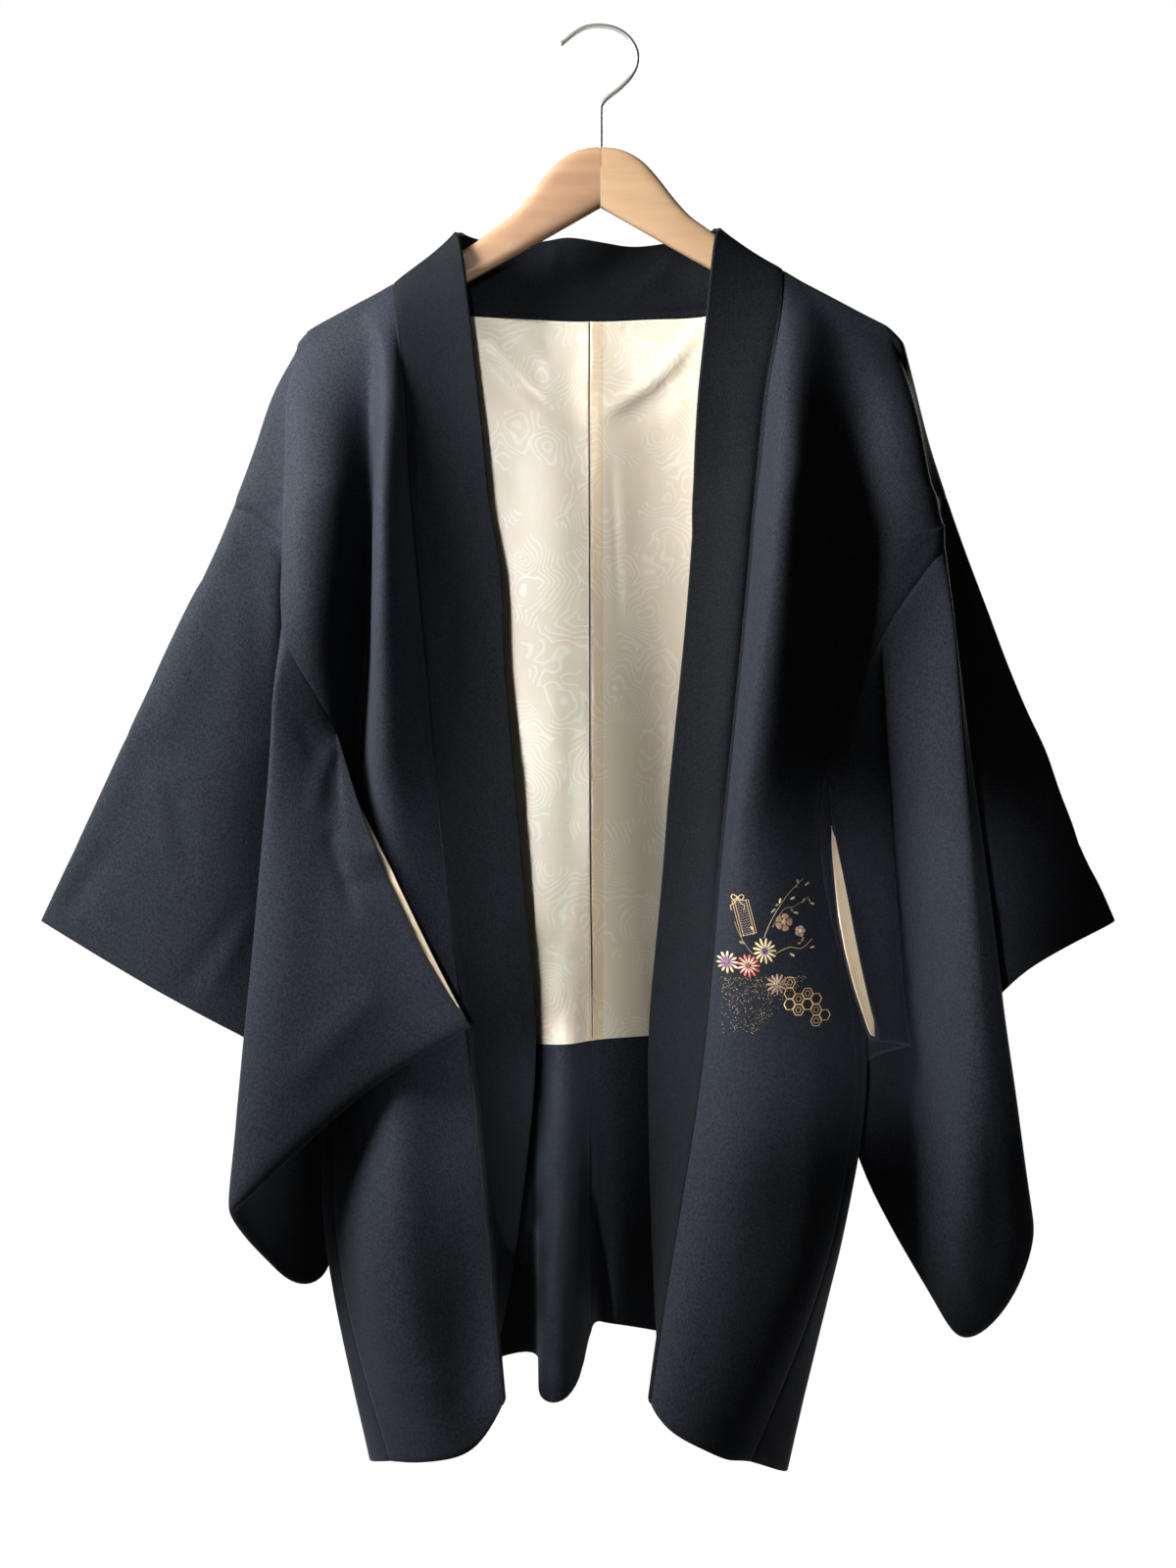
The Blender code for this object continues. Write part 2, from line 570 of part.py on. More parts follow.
def tip_shift(vertex, faces):
    """How far a gusset's top corner drops, away from the sleeve and body that meet there."""
    if len({face.material_index for face in vertex.link_faces}) < 3:
        return Vector()
    own = [face.calc_center_median() for face in vertex.link_faces if face in faces]
    return (sum(own, Vector()) / len(own) - vertex.co).normalized() * gusset_drop


def wall_from(mesh, faces, wall, name, colour):
    """One closed solid: the given faces, thickened equally to both sides."""
    faces = set(faces)
    vertices = sorted({v for face in faces for v in face.verts}, key=lambda v: v.index)
    number = {v.index: i for i, v in enumerate(vertices)}
    outer, inner = [], []
    for v in vertices:
        reach = v.normal * mitre(v) * wall / 2
        base = v.co + seam_shift(v, faces, seam_gap / 2 * wall / cloth_wall)
        if name.startswith("gusset"):
            base += tip_shift(v, faces)
        outer.append(base + reach)
        inner.append(base - reach)
    count = len(vertices)
    corners = []
    for face in sorted(faces, key=lambda f: f.index):
        loop = [number[v.index] for v in face.verts]
        corners.append(loop)
        corners.append([i + count for i in reversed(loop)])
        for i, start in enumerate(face.verts):
            end = face.verts[(i + 1) % len(face.verts)]
            edge = next(e for e in start.link_edges if e.other_vert(start) is end)
            if sum(1 for f in edge.link_faces if f in faces) == 1:
                a, b = number[start.index], number[end.index]
                if start.index < end.index:
                    corners += [[b, a, b + count], [a, a + count, b + count]]
                else:
                    corners += [[b, a, a + count], [b, a + count, b + count]]
    return solid(name, outer + inner, corners, colour)


def solid(name, points, corners, colour):
    data = bpy.data.meshes.new(name)
    data.from_pydata([tuple(p) for p in points], [], corners)
    data.materials.append(material(colour))
    data.shade_smooth()
    data.set_sharp_from_angle(angle=math.radians(40))
    made = bpy.data.objects.new(name, data)
    bpy.context.scene.collection.objects.link(made)
    return made


def lay_inside(mesh, chosen, pulled, label):
    """A sheet just inside the cloth, made of the cloth's own triangles.

    chosen holds the cloth's points to cover. pulled maps some of them to a
    neighbour and a length: that point moves so far towards its neighbour.
    """
    inset = (cloth_wall + lining_wall) / 2 + lining_gap
    inside = {i: mesh.verts[i].co - mesh.verts[i].normal * mitre(mesh.verts[i]) * inset for i in chosen}
    sheet = Sheet()
    number = {}
    for i in sorted(chosen):
        point = inside[i]
        if i in pulled:
            neighbour, length = pulled[i]
            point = point + (inside[neighbour] - point).normalized() * length
        number[i] = sheet.add(point)
    for face in mesh.faces:
        corners = [v.index for v in face.verts]
        if all(i in number for i in corners):
            sheet.face([number[i] for i in corners], label(face))
    return sheet


def add_linings(mesh, labels, backs):
    """The back's cream lining, in two halves that meet at the centre seam."""
    chosen, pulled = set(), {}
    for back in backs:
        for row in range(neck_row, lining_row + 1):
            chosen.update(i for key, i in back[row].items() if key <= 0)
        for key, i in back[neck_row].items():
            if key <= 0:
                pulled[i] = (back[neck_row + 1][key], 2 * mm)
    sheet = lay_inside(mesh, chosen, pulled,
                       lambda face: labels[face.material_index].replace("back", "lining"))
    thicken_all(sheet, 0, Vector((0, 1, 0)), {"lining": (lining_wall, "lining")})


def add_sleeve_linings(mesh, sleeves):
    """The cream band that shows in each sleeve's open inner edge."""
    for name, (rows, keys) in sleeves.items():
        chosen, pulled = set(), {}
        for row in rows:
            chosen.update(row[key] for key in keys)
            pulled[row[0]] = (row[0.5], 2 * mm)
        for key in keys:
            pulled[rows[-1][key]] = (rows[-2][key], 8 * mm)
        sheet = lay_inside(mesh, chosen, pulled, lambda face: "sleeve_lining_" + name)
        thicken_all(sheet, 0, Vector((0, -1, 0)), {"sleeve": (lining_wall, "lining")})


def thicken_all(sheet, sample, direction, finishes):
    """Cut a sheet into its pieces and give each its thickness."""
    mesh, labels = surface_mesh(sheet)
    face_outwards(mesh, sample, direction)
    for number, label in enumerate(labels):
        wall, colour = finishes.get(label.split("_")[0], (cloth_wall, "cloth"))
        faces = [face for face in mesh.faces if face.material_index == number]
        wall_from(mesh, faces, wall, label, colour)
    return mesh, labels


def arm_ring(reach, half_thick, shrink):
    """A rounded slice across the hanger's arm."""
    top, bottom = along(arm_crest, reach / mm) * mm, along(arm_under, reach / mm) * mm
    middle, half_height = (top + bottom) / 2, (top - bottom) / 2
    ring = []
    for step in range(12):
        angle = math.radians(30 * step)
        across, up = math.cos(angle), math.sin(angle)
        y = half_thick * math.copysign(abs(across) ** 0.6, across) * shrink
        z = middle + half_height * math.copysign(abs(up) ** 0.6, up) * shrink
        ring.append((y, z))
    return ring


def add_arm(side, name, colour):
    """Half of the wooden hanger, from the joint in the middle to its rounded tip."""
    reaches = [0.15, 10, 20, 31, 42, 52, 64, 76, 88, 104, 132, 160, 188, 206, 210.5, 213]
    points, corners = [], []
    for reach in reaches:
        tip = max(0.0, reach * mm - (arm_reach - arm_round)) / arm_round
        shrink = math.sqrt(1 - (0.92 * tip) ** 2)
        points += [Vector((side * reach * mm, y, z))
                   for y, z in arm_ring(reach * mm, arm_half_thick, shrink)]
    for ring in range(len(reaches) - 1):
        for step in range(12):
            a, b = ring * 12 + step, ring * 12 + (step + 1) % 12
            corners.append([a, b, b + 12, a + 12])
    corners.append(list(range(12))[::-1])
    corners.append([len(points) - 12 + step for step in range(12)])
    if side < 0:
        corners = [loop[::-1] for loop in corners]
    made = solid(name, points, corners, colour)
    bore = made.modifiers.new("stem hole", "BOOLEAN")
    bore.operation = "DIFFERENCE"
    bore.object = bpy.data.objects["stem_cutter"]
    return made


def add_stem_cutter():
    top = along(arm_crest, 0) * mm
    bpy.ops.mesh.primitive_cylinder_add(vertices=16, radius=wood_hole_radius, depth=2 * stem_depth,
                                        location=(0, 0, top - rest_gap))
    cutter = bpy.context.object
    cutter.name = "stem_cutter"
    cutter.hide_render = True
    cutter.display_type = "WIRE"


def add_hook():
    """The bent wire: a round hook with a turned-up tip, a bend and a straight stem."""
    route = smooth_between([Vector((x * mm, 0, z * mm)) for x, z in hook_route], 3)
    curve = bpy.data.curves.new("hanger_hook", "CURVE")
    curve.dimensions = "3D"
    curve.bevel_depth = wire_radius
    curve.bevel_resolution = 2
    curve.use_fill_caps = True
    wire = curve.splines.new("POLY")
    wire.points.add(len(route) - 1)
    for point, place in zip(wire.points, route):
        point.co = (*place, 1)
    curve.materials.append(material("steel"))
    bpy.context.scene.collection.objects.link(bpy.data.objects.new("hanger_hook", curve))


def build_garment():
    sheet = Sheet()
    centre_seam = {}
    right = body_rows(sheet, -1, right_front, right_back, centre_seam)
    left = body_rows(sheet, 1, left_front, left_back, centre_seam)
    add_body(sheet, *right, "right")
    add_body(sheet, *left, "left")
    add_gusset(sheet, -1, *right, right_gusset, "right")
    add_gusset(sheet, 1, *left, left_gusset, "left")
    add_collar(sheet,
               collar_stations(sheet, -1, *right, right_collar_front, right_collar_back),
               collar_stations(sheet, 1, *left, left_collar_front, left_collar_back))
    right_backs = add_sleeve(sheet, -1, right_sleeve, armhole(right[0], 11, True),
                             armhole(right[1], 11, False), "right")
    left_backs = add_sleeve(sheet, 1, left_sleeve, armhole(left[0], 12, True),
                            armhole(left[1], 12, False), "left")
    mesh, labels = thicken_all(sheet, right[0][8][bulge_fold], Vector((0, -1, 0)),
                               {"collar": (collar_wall, "collar")})
    add_linings(mesh, labels, (right[1], left[1]))
    add_sleeve_linings(mesh, {"right": (right_backs[:5], (0, 0.5)),
                              "left": (left_backs[:5], (0, 0.5, 1))})


def build_hanger():
    add_stem_cutter()
    add_arm(-1, "hanger_right_arm", "right_wood")
    add_arm(1, "hanger_left_arm", "left_wood")
    add_hook()


clear_scene()
build_garment()
build_hanger()
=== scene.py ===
import math

import bmesh
import bpy
import numpy as np
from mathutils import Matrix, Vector, noise
from mathutils.bvhtree import BVHTree
from mathutils.kdtree import KDTree


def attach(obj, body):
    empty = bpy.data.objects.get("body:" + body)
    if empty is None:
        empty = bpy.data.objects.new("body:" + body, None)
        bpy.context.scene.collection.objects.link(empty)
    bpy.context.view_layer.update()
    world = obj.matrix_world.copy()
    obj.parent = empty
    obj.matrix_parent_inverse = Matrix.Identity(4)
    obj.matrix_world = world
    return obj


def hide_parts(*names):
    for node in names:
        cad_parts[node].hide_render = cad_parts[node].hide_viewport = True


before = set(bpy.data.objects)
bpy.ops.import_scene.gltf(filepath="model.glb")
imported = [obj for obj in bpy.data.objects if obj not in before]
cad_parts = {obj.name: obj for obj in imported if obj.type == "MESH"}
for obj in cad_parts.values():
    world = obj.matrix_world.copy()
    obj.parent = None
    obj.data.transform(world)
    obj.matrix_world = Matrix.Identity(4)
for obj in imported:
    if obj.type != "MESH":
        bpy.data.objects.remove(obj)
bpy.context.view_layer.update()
mm = 0.001
bodyName = "root"

# A haori on a wooden hanger. Metres, +Z up, front towards -Y, wearer's right towards -X.
# The whole jacket is first worked out as one surface, so that its pieces share their seams,
# then it is creased and cut into its pieces. Lengths in the tables are in millimetres.

clothSettings = {
    "wall": 1.5,
    "collarWall": 3.0,
    "collarRound": 1.6,             # how far the collar band swells between its seam and its fold
    "collarRows": (0.12, 0.5, 0.86, 1.0),
    "liningWall": 0.8,
    "liningGap": 0.4,
    "seamInset": 0.35,              # how far a piece is cut short of its seam, before rounding
    "edgeRound": 0.5,
    "collarEdgeShare": 0.45,        # the collar's edge rounding as a share of its wall
    "liningInset": 0.8,
    "liningEdge": 0.3,
    "seamDip": 0.5,                 # how deep the stitched seams sink
    "seamReach": 3.5,
    "smoothLevels": 3,
    "holdRounds": 3,                # rounds of pulling the smooth surface back onto its folds
    "holdShare": 0.8,
}

# Rows run from the shoulder (0) to the hem (17). Folds are numbered from the collar's seam (0)
# outwards: ridge, ridge back, valley, bulge (4), fold, step, flap, edge and top fold (9).
# The back's folds run from the centre seam (-4) past the collar's (0) to the edge.
bodySettings = {
    "neckRow": 3,
    "shoulderRow": 6,
    "armholeRow": 11,
    "liningRow": 14,
    "hemRow": 17,
    "bulge": 4,
    "topFold": 9,
    "centreX": -8.3,
    "centreHeights": (-206, -236, -274, -316, -345, -368, -395, -430, -490, -546, -625, -742,
                      -830, -905, -962),
    "backFolds": (-4, -3, -2, -1, 0, 3, 4, 6, 8),
    "rowSteps": {12: 2, 13: 3, 14: 2, 15: 2, 16: 2},    # rows added below the armholes
    "drape": ((0, 0), (4.2, -0.75), (8.2, -4.25), (11.5, -13)),
    "drapeShare": 0.9,
    "tipStart": 205,                # how the cloth rounds off over the arm's end
    "tipSlope": 0.4,
    "tipRound": 0.75,
    "tipFall": 0.04,
    "endFade": {6: 0.95, 7: 0.9, 8: 0.75, 9: 0.0},
    "endLean": {5: 0.8, 6: 0.8, 7: 0.9, 8: 1.4, 9: 1.9},
    "shoulderReach": {
        -1: {0: 149, 1: 162, 2: 171, 3: 178, 4: 199, 5: 210, 6: 212, 7: 214, 8: 216, 9: 217.5},
        1: {0: 131, 1: 144, 2: 154, 3: 169, 4: 190, 5: 203, 6: 208, 7: 212.5, 8: 215.5, 9: 217},
    },
}
# One row each: height at the collar seam, height at the outer end, then x out and y
# (and a height of its own where the row bends) at each fold.
rightFront = {
    4: (-225, -268, (146, -25), (153, -27), (160, -26), (168, -20), (206, -24), (223, -19),
        (224, -15), (228, -10), (235, -4.5), (239, 0)),
    5: (-268, -306, (141, -33), (144, -43), (156, -46), (166, -27), (194, -43), (223, -38),
        (222, -24), (226, -12), (246, -5), (251, 0)),
    6: (-312, -345, (138, -40), (142, -56), (156, -63), (164, -32), (189, -57), (222, -51),
        (220, -31), (225, -14), (259, -5), (265, 0)),
    7: (-345, -352, (136, -45), (140, -64), (156, -75), (164, -34), (187, -66), (222, -60),
        (218, -37), (225, -14), (257, -6)),
    8: (-374, -374, (133, -47), (138, -69), (156, -82), (164, -36), (186, -72), (222, -68),
        (217, -42), (231, -12)),
    9: (-408, -408, (130, -49), (136, -72), (156, -86), (164, -37), (186, -77), (222, -74),
        (216, -46)),
    10: (-450, -450, (126, -52), (135, -74), (157, -87), (165, -38), (187, -79), (221, -76)),
    11: (-513, -513, (120, -57), (132, -72), (156, -84), (168, -42), (186, -66)),
    12: (-548, -548, (116, -60), (130, -70), (154, -78), (168, -46), (178, -46)),
    13: (-650, -650, (105, -67), (124, -74), (146, -74), (168, -52), (180, -44)),
    14: (-740, -740, (91, -77), (117, -83), (143, -90), (166, -68), (184, -52)),
    15: (-840, -840, (80, -95), (106, -106), (136, -116), (162, -98), (187, -66)),
    16: (-925, -925, (72, -106), (97, -115), (126, -124), (152, -108), (174, -74)),
    17: (-971, -1016, (67, -110), (84, -121, -997), (108, -122, -1006), (128, -108, -1012),
         (145, -92)),
}
leftFront = {
    4: (-222, -262, (128, -23), (137, -30), (152, -29), (174, -22), (198, -24), (217, -21),
        (220, -15), (223, -10), (226, -4.5), (229, 0)),
    5: (-265, -302, (120, -32), (129, -51), (148, -50), (176, -34), (203, -43), (225, -42),
        (226, -28), (230, -16), (235, -6), (239, 0)),
    6: (-308, -340, (115, -39), (126, -67), (146, -65), (176, -36), (204, -51), (231, -49),
        (231, -33), (236, -18), (246, -7), (251, 0)),
    7: (-335, -347, (112, -44), (121, -79), (144, -77), (175, -34), (204, -53), (235, -51),
        (234, -35), (239, -20), (247, -7)),
    8: (-352, -360, (110, -46), (119, -82), (143, -79), (174, -34), (204, -54), (237, -53),
        (236, -37), (243, -22)),
    9: (-370, -374, (108, -47), (117, -83), (142, -80), (173, -35), (205, -55), (239, -55),
        (240, -39)),
    10: (-386, -388, (107, -48), (116, -84), (141, -80), (172, -36), (205, -56), (239, -58)),
    11: (-447, -447, (101, -52), (110, -85), (137, -80), (169, -41), (198, -52)),
    12: (-544, -544, (91, -58), (99, -85), (129, -79), (151, -55), (159, -58)),
    13: (-610, -610, (84, -63), (94, -83), (125, -78), (146, -58), (155, -47)),
    14: (-720, -720, (73, -76), (88, -91), (116, -93), (150, -80), (177, -56)),
    15: (-800, -800, (61, -90), (80, -105), (111, -107), (148, -96), (174, -68)),
    16: (-900, -900, (44, -101), (62, -116), (97, -118), (130, -110), (149, -90)),
    17: (-970, -1013, (33, -111), (45, -121, -986), (68, -121, -999), (86, -113, -1009),
         (101, -102)),
}
centreX = bodySettings["centreX"]
# Height at the outer end, then x out and y from the centre seam outwards.
rightBack = {
    3: (0, (-centreX, 35), (28, 35), (50, 34), (99, 29)),
    4: (-268, (-centreX, 35), (28, 39), (50, 38), (98, 33), (143, 26), (185, 19), (204, 16),
        (222, 12), (233, 5)),
    5: (-306, (-centreX, 33), (27, 39), (48, 42), (95, 37), (140, 28), (182, 20), (204, 17),
        (226, 13), (245, 5)),
    6: (-345, (-centreX, 35), (26, 40), (46, 43), (92, 39), (137, 29), (179, 20), (204, 17),
        (229, 14), (258, 5)),
    7: (-360, (-centreX, 36), (25, 40), (44, 43), (90, 40), (134, 30), (177, 20), (204, 16),
        (232, 13), (257, 6)),
    8: (-386, (-centreX, 36), (25, 40), (44, 43), (89, 40), (132, 29), (176, 18), (203, 13),
        (226, 8), (240, 4)),
    9: (-418, (-centreX, 36), (25, 40), (44, 43), (88, 40), (131, 27), (174, 14), (200, 6),
        (213, -8)),
    10: (-458, (-centreX, 36), (25, 39), (43, 42), (87, 39), (129, 23), (171, 6), (194, -8),
         (206, -28)),
    11: (-513, (-centreX, 35), (24, 38), (42, 41), (86, 36), (126, 15), (167, -9), (198, -54)),
    12: (-548, (-centreX, 35), (24, 37), (42, 40), (83, 35), (125, 12), (165, -10), (187, -29)),
    13: (-650, (-centreX, 34), (24, 31), (42, 36), (78, 32), (122, 6), (164, -11), (189, -26)),
    14: (-745, (-centreX, 36), (23, 12), (44, 15), (56, 30), (120, 5), (163, -11), (190, -25)),
    15: (-840, (-centreX, 44), (22, -12), (46, -7), (52, 30), (120, 4), (162, -10), (188, -28)),
    16: (-925, (-centreX, 47), (21, -38), (46, -34), (50, 28), (116, 7), (154, -8), (177, -31)),
    17: (-1026, (-centreX, 52), (20, -62, -978), (45, -60, -978), (48, 24, -970), (110, 14, -988),
         (138, -8, -1012), (160, -38)),
}
leftBack = {
    3: (0, (centreX, 35), (15, 35), (45, 34), (85, 29)),
    4: (-262, (centreX, 35), (15, 39), (44, 38), (84, 33), (126, 27), (172, 20), (196, 16),
        (216, 11), (225, 5)),
    5: (-302, (centreX, 33), (14, 37), (42, 44), (82, 40), (122, 29), (170, 21), (196, 17),
        (222, 12), (234, 5)),
    6: (-340, (centreX, 35), (14, 39), (40, 45), (80, 42), (119, 30), (168, 21), (196, 17),
        (228, 13), (246, 6)),
    7: (-354, (centreX, 36), (14, 40), (40, 46), (79, 43), (117, 30), (167, 21), (196, 16),
        (228, 13), (246, 7)),
    8: (-374, (centreX, 36), (14, 41), (39, 46), (79, 43), (116, 30), (166, 20), (196, 15),
        (226, 11), (239, 5)),
    9: (-398, (centreX, 36), (14, 41), (39, 46), (78, 44), (115, 29), (165, 18), (196, 12),
        (230, 0)),
    10: (-424, (centreX, 36), (14, 41), (38, 46), (77, 44), (113, 28), (163, 15), (194, 7),
         (220, -8)),
    11: (-470, (centreX, 35), (14, 41), (38, 46), (76, 43), (110, 24), (160, 7), (194, -20)),
    12: (-544, (centreX, 35), (14, 41), (37, 46), (73, 42), (107, 16), (147, -10), (167, -48)),
    13: (-610, (centreX, 34), (14, 42), (37, 47), (71, 41), (106, 13), (147, -6), (171, -12)),
    14: (-735, (centreX, 36), (14, 45), (37, 50), (71, 42), (107, 11), (151, -7), (180, -26)),
    15: (-815, (centreX, 44), (12, 60), (36, 57), (71, 43), (106, 14), (147, -6), (174, -29)),
    16: (-905, (centreX, 47), (8, 78), (33, 71), (70, 51), (103, 20), (132, -4), (152, -34)),
    17: (-1030, (centreX, 52), (4, 90, -966), (30, 80, -967), (68, 56, -972), (98, 22, -992),
         (116, -8, -1014), (128, -42)),
}


def along(table, reach):
    for (near, low), (far, high) in zip(table, table[1:]):
        if reach <= far:
            return low + (high - low) * (reach - near) / (far - near)
    return table[-1][1]


def placeAt(side, x, y, z):
    return Vector((side * x, y, z)) * mm


def smoothBetween(points, steps):
    made = []
    for i in range(len(points) - 1):
        before, after = points[max(i - 1, 0)], points[min(i + 2, len(points) - 1)]
        count = steps[i] if hasattr(steps, "__len__") else steps
        for k in range(count):
            t = k / count
            startPull, endPull = (points[i + 1] - before) * 0.5, (after - points[i]) * 0.5
            made.append(points[i] * (2 * t ** 3 - 3 * t ** 2 + 1)
                        + startPull * (t ** 3 - 2 * t ** 2 + t)
                        + points[i + 1] * (3 * t ** 2 - 2 * t ** 3) + endPull * (t ** 3 - t ** 2))
    return made + [points[-1]]


def curveRoute(pairs, steps=7):
    return [(p.x, p.y) for p in smoothBetween([Vector(pair) for pair in pairs], steps)]


class Sheet:
    # the points and faces of the coarse surface
    def __init__(self):
        self.points = []
        self.marks = []             # each point's row and fold
        self.faces = []

    def add(self, point, row=-1.0, fold=0.0):
        self.points.append(Vector(point))
        self.marks.append((row, fold))
        return len(self.points) - 1

    def face(self, corners, label):
        # leaves out a corner that repeats the one before it
        kept = [corner for i, corner in enumerate(corners) if corner != corners[i - 1]]
        if len(kept) > 2:
            self.faces.append((kept, label))

    def strip(self, upper, lower, label):
        # faces between two rows, from each fold that both have to the next
        shared = sorted(key for key in upper if key in lower)
        for near, far in zip(shared, shared[1:]):
            top = [upper[key] for key in sorted(upper) if near <= key <= far]
            bottom = [lower[key] for key in sorted(lower) if near <= key <= far]
            self.face(top + bottom[::-1], label)
        last = shared[-1]
        for longer, other in ((upper, lower), (lower, upper)):
            beyond = [longer[key] for key in sorted(longer) if key >= last]
            if len(beyond) > 1:
                self.face(beyond + [other[last]], label)


def shoulderPoint(side, row, fold, reach):
    b, h = bodySettings, hangerSettings
    wall = clothSettings["collarWall"] if fold == 0 else clothSettings["wall"]
    over, down = b["drape"][row]
    lean = row * b["endLean"].get(fold, 0.0)
    beyond = max(0.0, reach - h["reach"])
    fall = max(0.0, reach - b["tipStart"]) ** 2 * b["tipFall"]
    rise = along(h["crest"], min(reach, h["reach"])) + h["restGap"] + wall / 2
    drop = beyond * b["tipSlope"] + max(beyond * b["tipRound"], -down * b["drapeShare"])
    return placeAt(side, reach + lean, over * b["endFade"].get(fold, 1.0), rise - drop - fall)


def frontRow(side, row, table):
    innerZ, outerZ, stations = table[row][0], table[row][1], table[row][2:]
    innerX, outerX = stations[0][0], stations[-1][0]
    points = {}
    for fold, station in enumerate(stations):
        share = (station[0] - innerX) / (outerX - innerX)
        z = station[2] if len(station) == 3 else innerZ + (outerZ - innerZ) * share
        points[fold] = placeAt(side, station[0], station[1], z)
    return points


def backRow(side, row, table):
    b = bodySettings
    outerZ, stations = table[row][0], table[row][1:]
    middleZ = b["centreHeights"][row - b["neckRow"]]
    innerX, outerX = stations[0][0], stations[-1][0]
    if row == b["neckRow"]:
        outerZ = middleZ + 4
    points = {}
    for fold, station in zip(b["backFolds"], stations):
        share = (station[0] - innerX) / (outerX - innerX)
        z = station[2] if len(station) == 3 else middleZ + (outerZ - middleZ) * share
        points[fold] = placeAt(side, station[0], station[1], z)
    return points


def rowNumbers():
    made = []
    for row in range(bodySettings["hemRow"]):
        count = bodySettings["rowSteps"].get(row, 1)
        made += [row + k / count for k in range(count)]
    return made + [bodySettings["hemRow"]]


def fillRows(rows):
    # adds the rows between those of the tables, on smooth curves down each fold
    first = min(rows)
    filled = {}
    for fold in sorted({fold for row in rows.values() for fold in row}):
        numbers = sorted(row for row in rows if fold in rows[row])
        run = [number for number in numbers if all(n in numbers for n in range(number, numbers[-1] + 1))]
        top = [number for number in numbers if number not in run]
        for number in top:
            filled.setdefault(number, {})[fold] = rows[number][fold]
        steps = [bodySettings["rowSteps"].get(number, 1) for number in run[:-1]]
        points = smoothBetween([rows[number][fold] for number in run], steps)
        places = [number + k / step for number, step in zip(run, steps) for k in range(step)]
        for place, point in zip(places + [run[-1]], points):
            filled.setdefault(place, {})[fold] = point
    return filled


def bodyRows(sheet, side, frontTable, backTable, centreSeam):
    b = bodySettings
    front, back = {}, {}
    for row in range(b["hemRow"] + 1):
        if row <= b["neckRow"]:
            reach = b["shoulderReach"][side]
            behind = {fold: shoulderPoint(side, row, fold, reach[fold]) for fold in reach}
            front[row] = {fold: Vector((p.x, -p.y, p.z)) for fold, p in behind.items()}
            behind = {fold: p for fold, p in behind.items() if fold in b["backFolds"]}
            if row == b["neckRow"]:
                behind.update(backRow(side, row, backTable))
            back[row] = behind
        else:
            front[row] = frontRow(side, row, frontTable)
            back[row] = backRow(side, row, backTable)
    frontPoints, backPoints = {}, {}
    for row, points in sorted(fillRows(front).items()):
        frontPoints[row] = {fold: sheet.add(p, row, fold) for fold, p in points.items()}
    middle = b["backFolds"][0]
    for row, points in sorted(fillRows(back).items()):
        if row == 0:
            backPoints[0] = dict(frontPoints[0])
            continue
        made = {fold: sheet.add(p, row, fold) for fold, p in points.items() if fold != middle}
        if row <= b["shoulderRow"]:
            made[b["topFold"]] = frontPoints[row][b["topFold"]]
        if row >= b["neckRow"]:
            if row not in centreSeam:
                centreSeam[row] = sheet.add(points[middle], row, middle)
            made[middle] = centreSeam[row]
        backPoints[row] = made
    return frontPoints, backPoints


def addBody(sheet, front, back, name):
    numbers = rowNumbers()
    for upper, lower in zip(numbers, numbers[1:]):
        sheet.strip(front[upper], front[lower], "front_" + name)
        sheet.strip(back[upper], back[lower], "back_" + name)


def fillPath(table):
    # adds the places between those of a table that is keyed by row
    numbers = sorted(table)
    steps = [bodySettings["rowSteps"].get(number, 1) for number in numbers[:-1]]
    points = smoothBetween([Vector(table[number]) for number in numbers], steps)
    places = [number + k / step for number, step in zip(numbers, steps) for k in range(step)]
    return dict(zip(places + [numbers[-1]], points))


# The gusset's middle, from the end of the armhole to the hem: x out, y, z.
rightGusset = {11: (193, -59, -516), 12: (184, -38, -548), 13: (188, -35, -650),
               14: (192, -38, -742), 15: (197, -46, -840), 16: (185, -53, -925),
               17: (160, -66, -1024)}
leftGusset = {12: (166, -50, -548), 13: (178, -30, -610), 14: (188, -37, -727),
              15: (183, -44, -806), 16: (162, -56, -902), 17: (127, -70, -1030)}


def addGusset(sheet, side, front, back, middles, name):
    bulge = bodySettings["bulge"]
    rows = []
    for row, place in sorted(fillPath(middles).items()):
        middle = sheet.add(placeAt(side, *place), row, bulge)
        rows.append({0: front[row][bulge], 1: middle, 2: back[row][bulge]})
    for upper, lower in zip(rows, rows[1:]):
        sheet.strip(upper, lower, "gusset_" + name)


# The collar's folded edge: x out, y and z in each front row from the shoulder.
rightCollarFront = ((105, 0, -150), (105, -5, -151), (104, -10, -155), (101, -14, -166),
                    (94, -21, -222), (89, -26, -267), (84, -29, -312), (81, -31, -345),
                    (76, -33, -374), (71, -35, -408), (70, -38, -450), (65, -42, -513),
                    (59, -45, -580), (53, -47, -650), (47, -46, -740), (56, -42, -836),
                    (68, -40, -916), (77, -42, -958))
leftCollarFront = ((86, 0, -147), (86, -5, -148), (85, -10, -152), (82, -14, -162),
                   (76, -19, -220), (71, -25, -264), (68, -29, -308), (67, -30, -335),
                   (66, -31, -352), (66, -32, -370), (65, -33, -386), (60, -37, -447),
                   (50, -42, -544), (44, -45, -620), (35, -47, -720), (35, -46, -798),
                   (38, -43, -894), (41, -42, -952))
# The same edge behind the neck, from the shoulder to the centre back seam.
rightCollarBack = ((103, 5, -149), (101, 10, -148), (97, 15, -149), (75, 24, -152),
                   (42, 30, -149), (26, 31, -146), (-centreX, 31, -148))
leftCollarBack = ((84, 5, -146), (83, 9, -145), (80, 14, -146), (62, 25, -149),
                  (30, 30, -153), (10, 31, -151), (centreX, 31, -148))


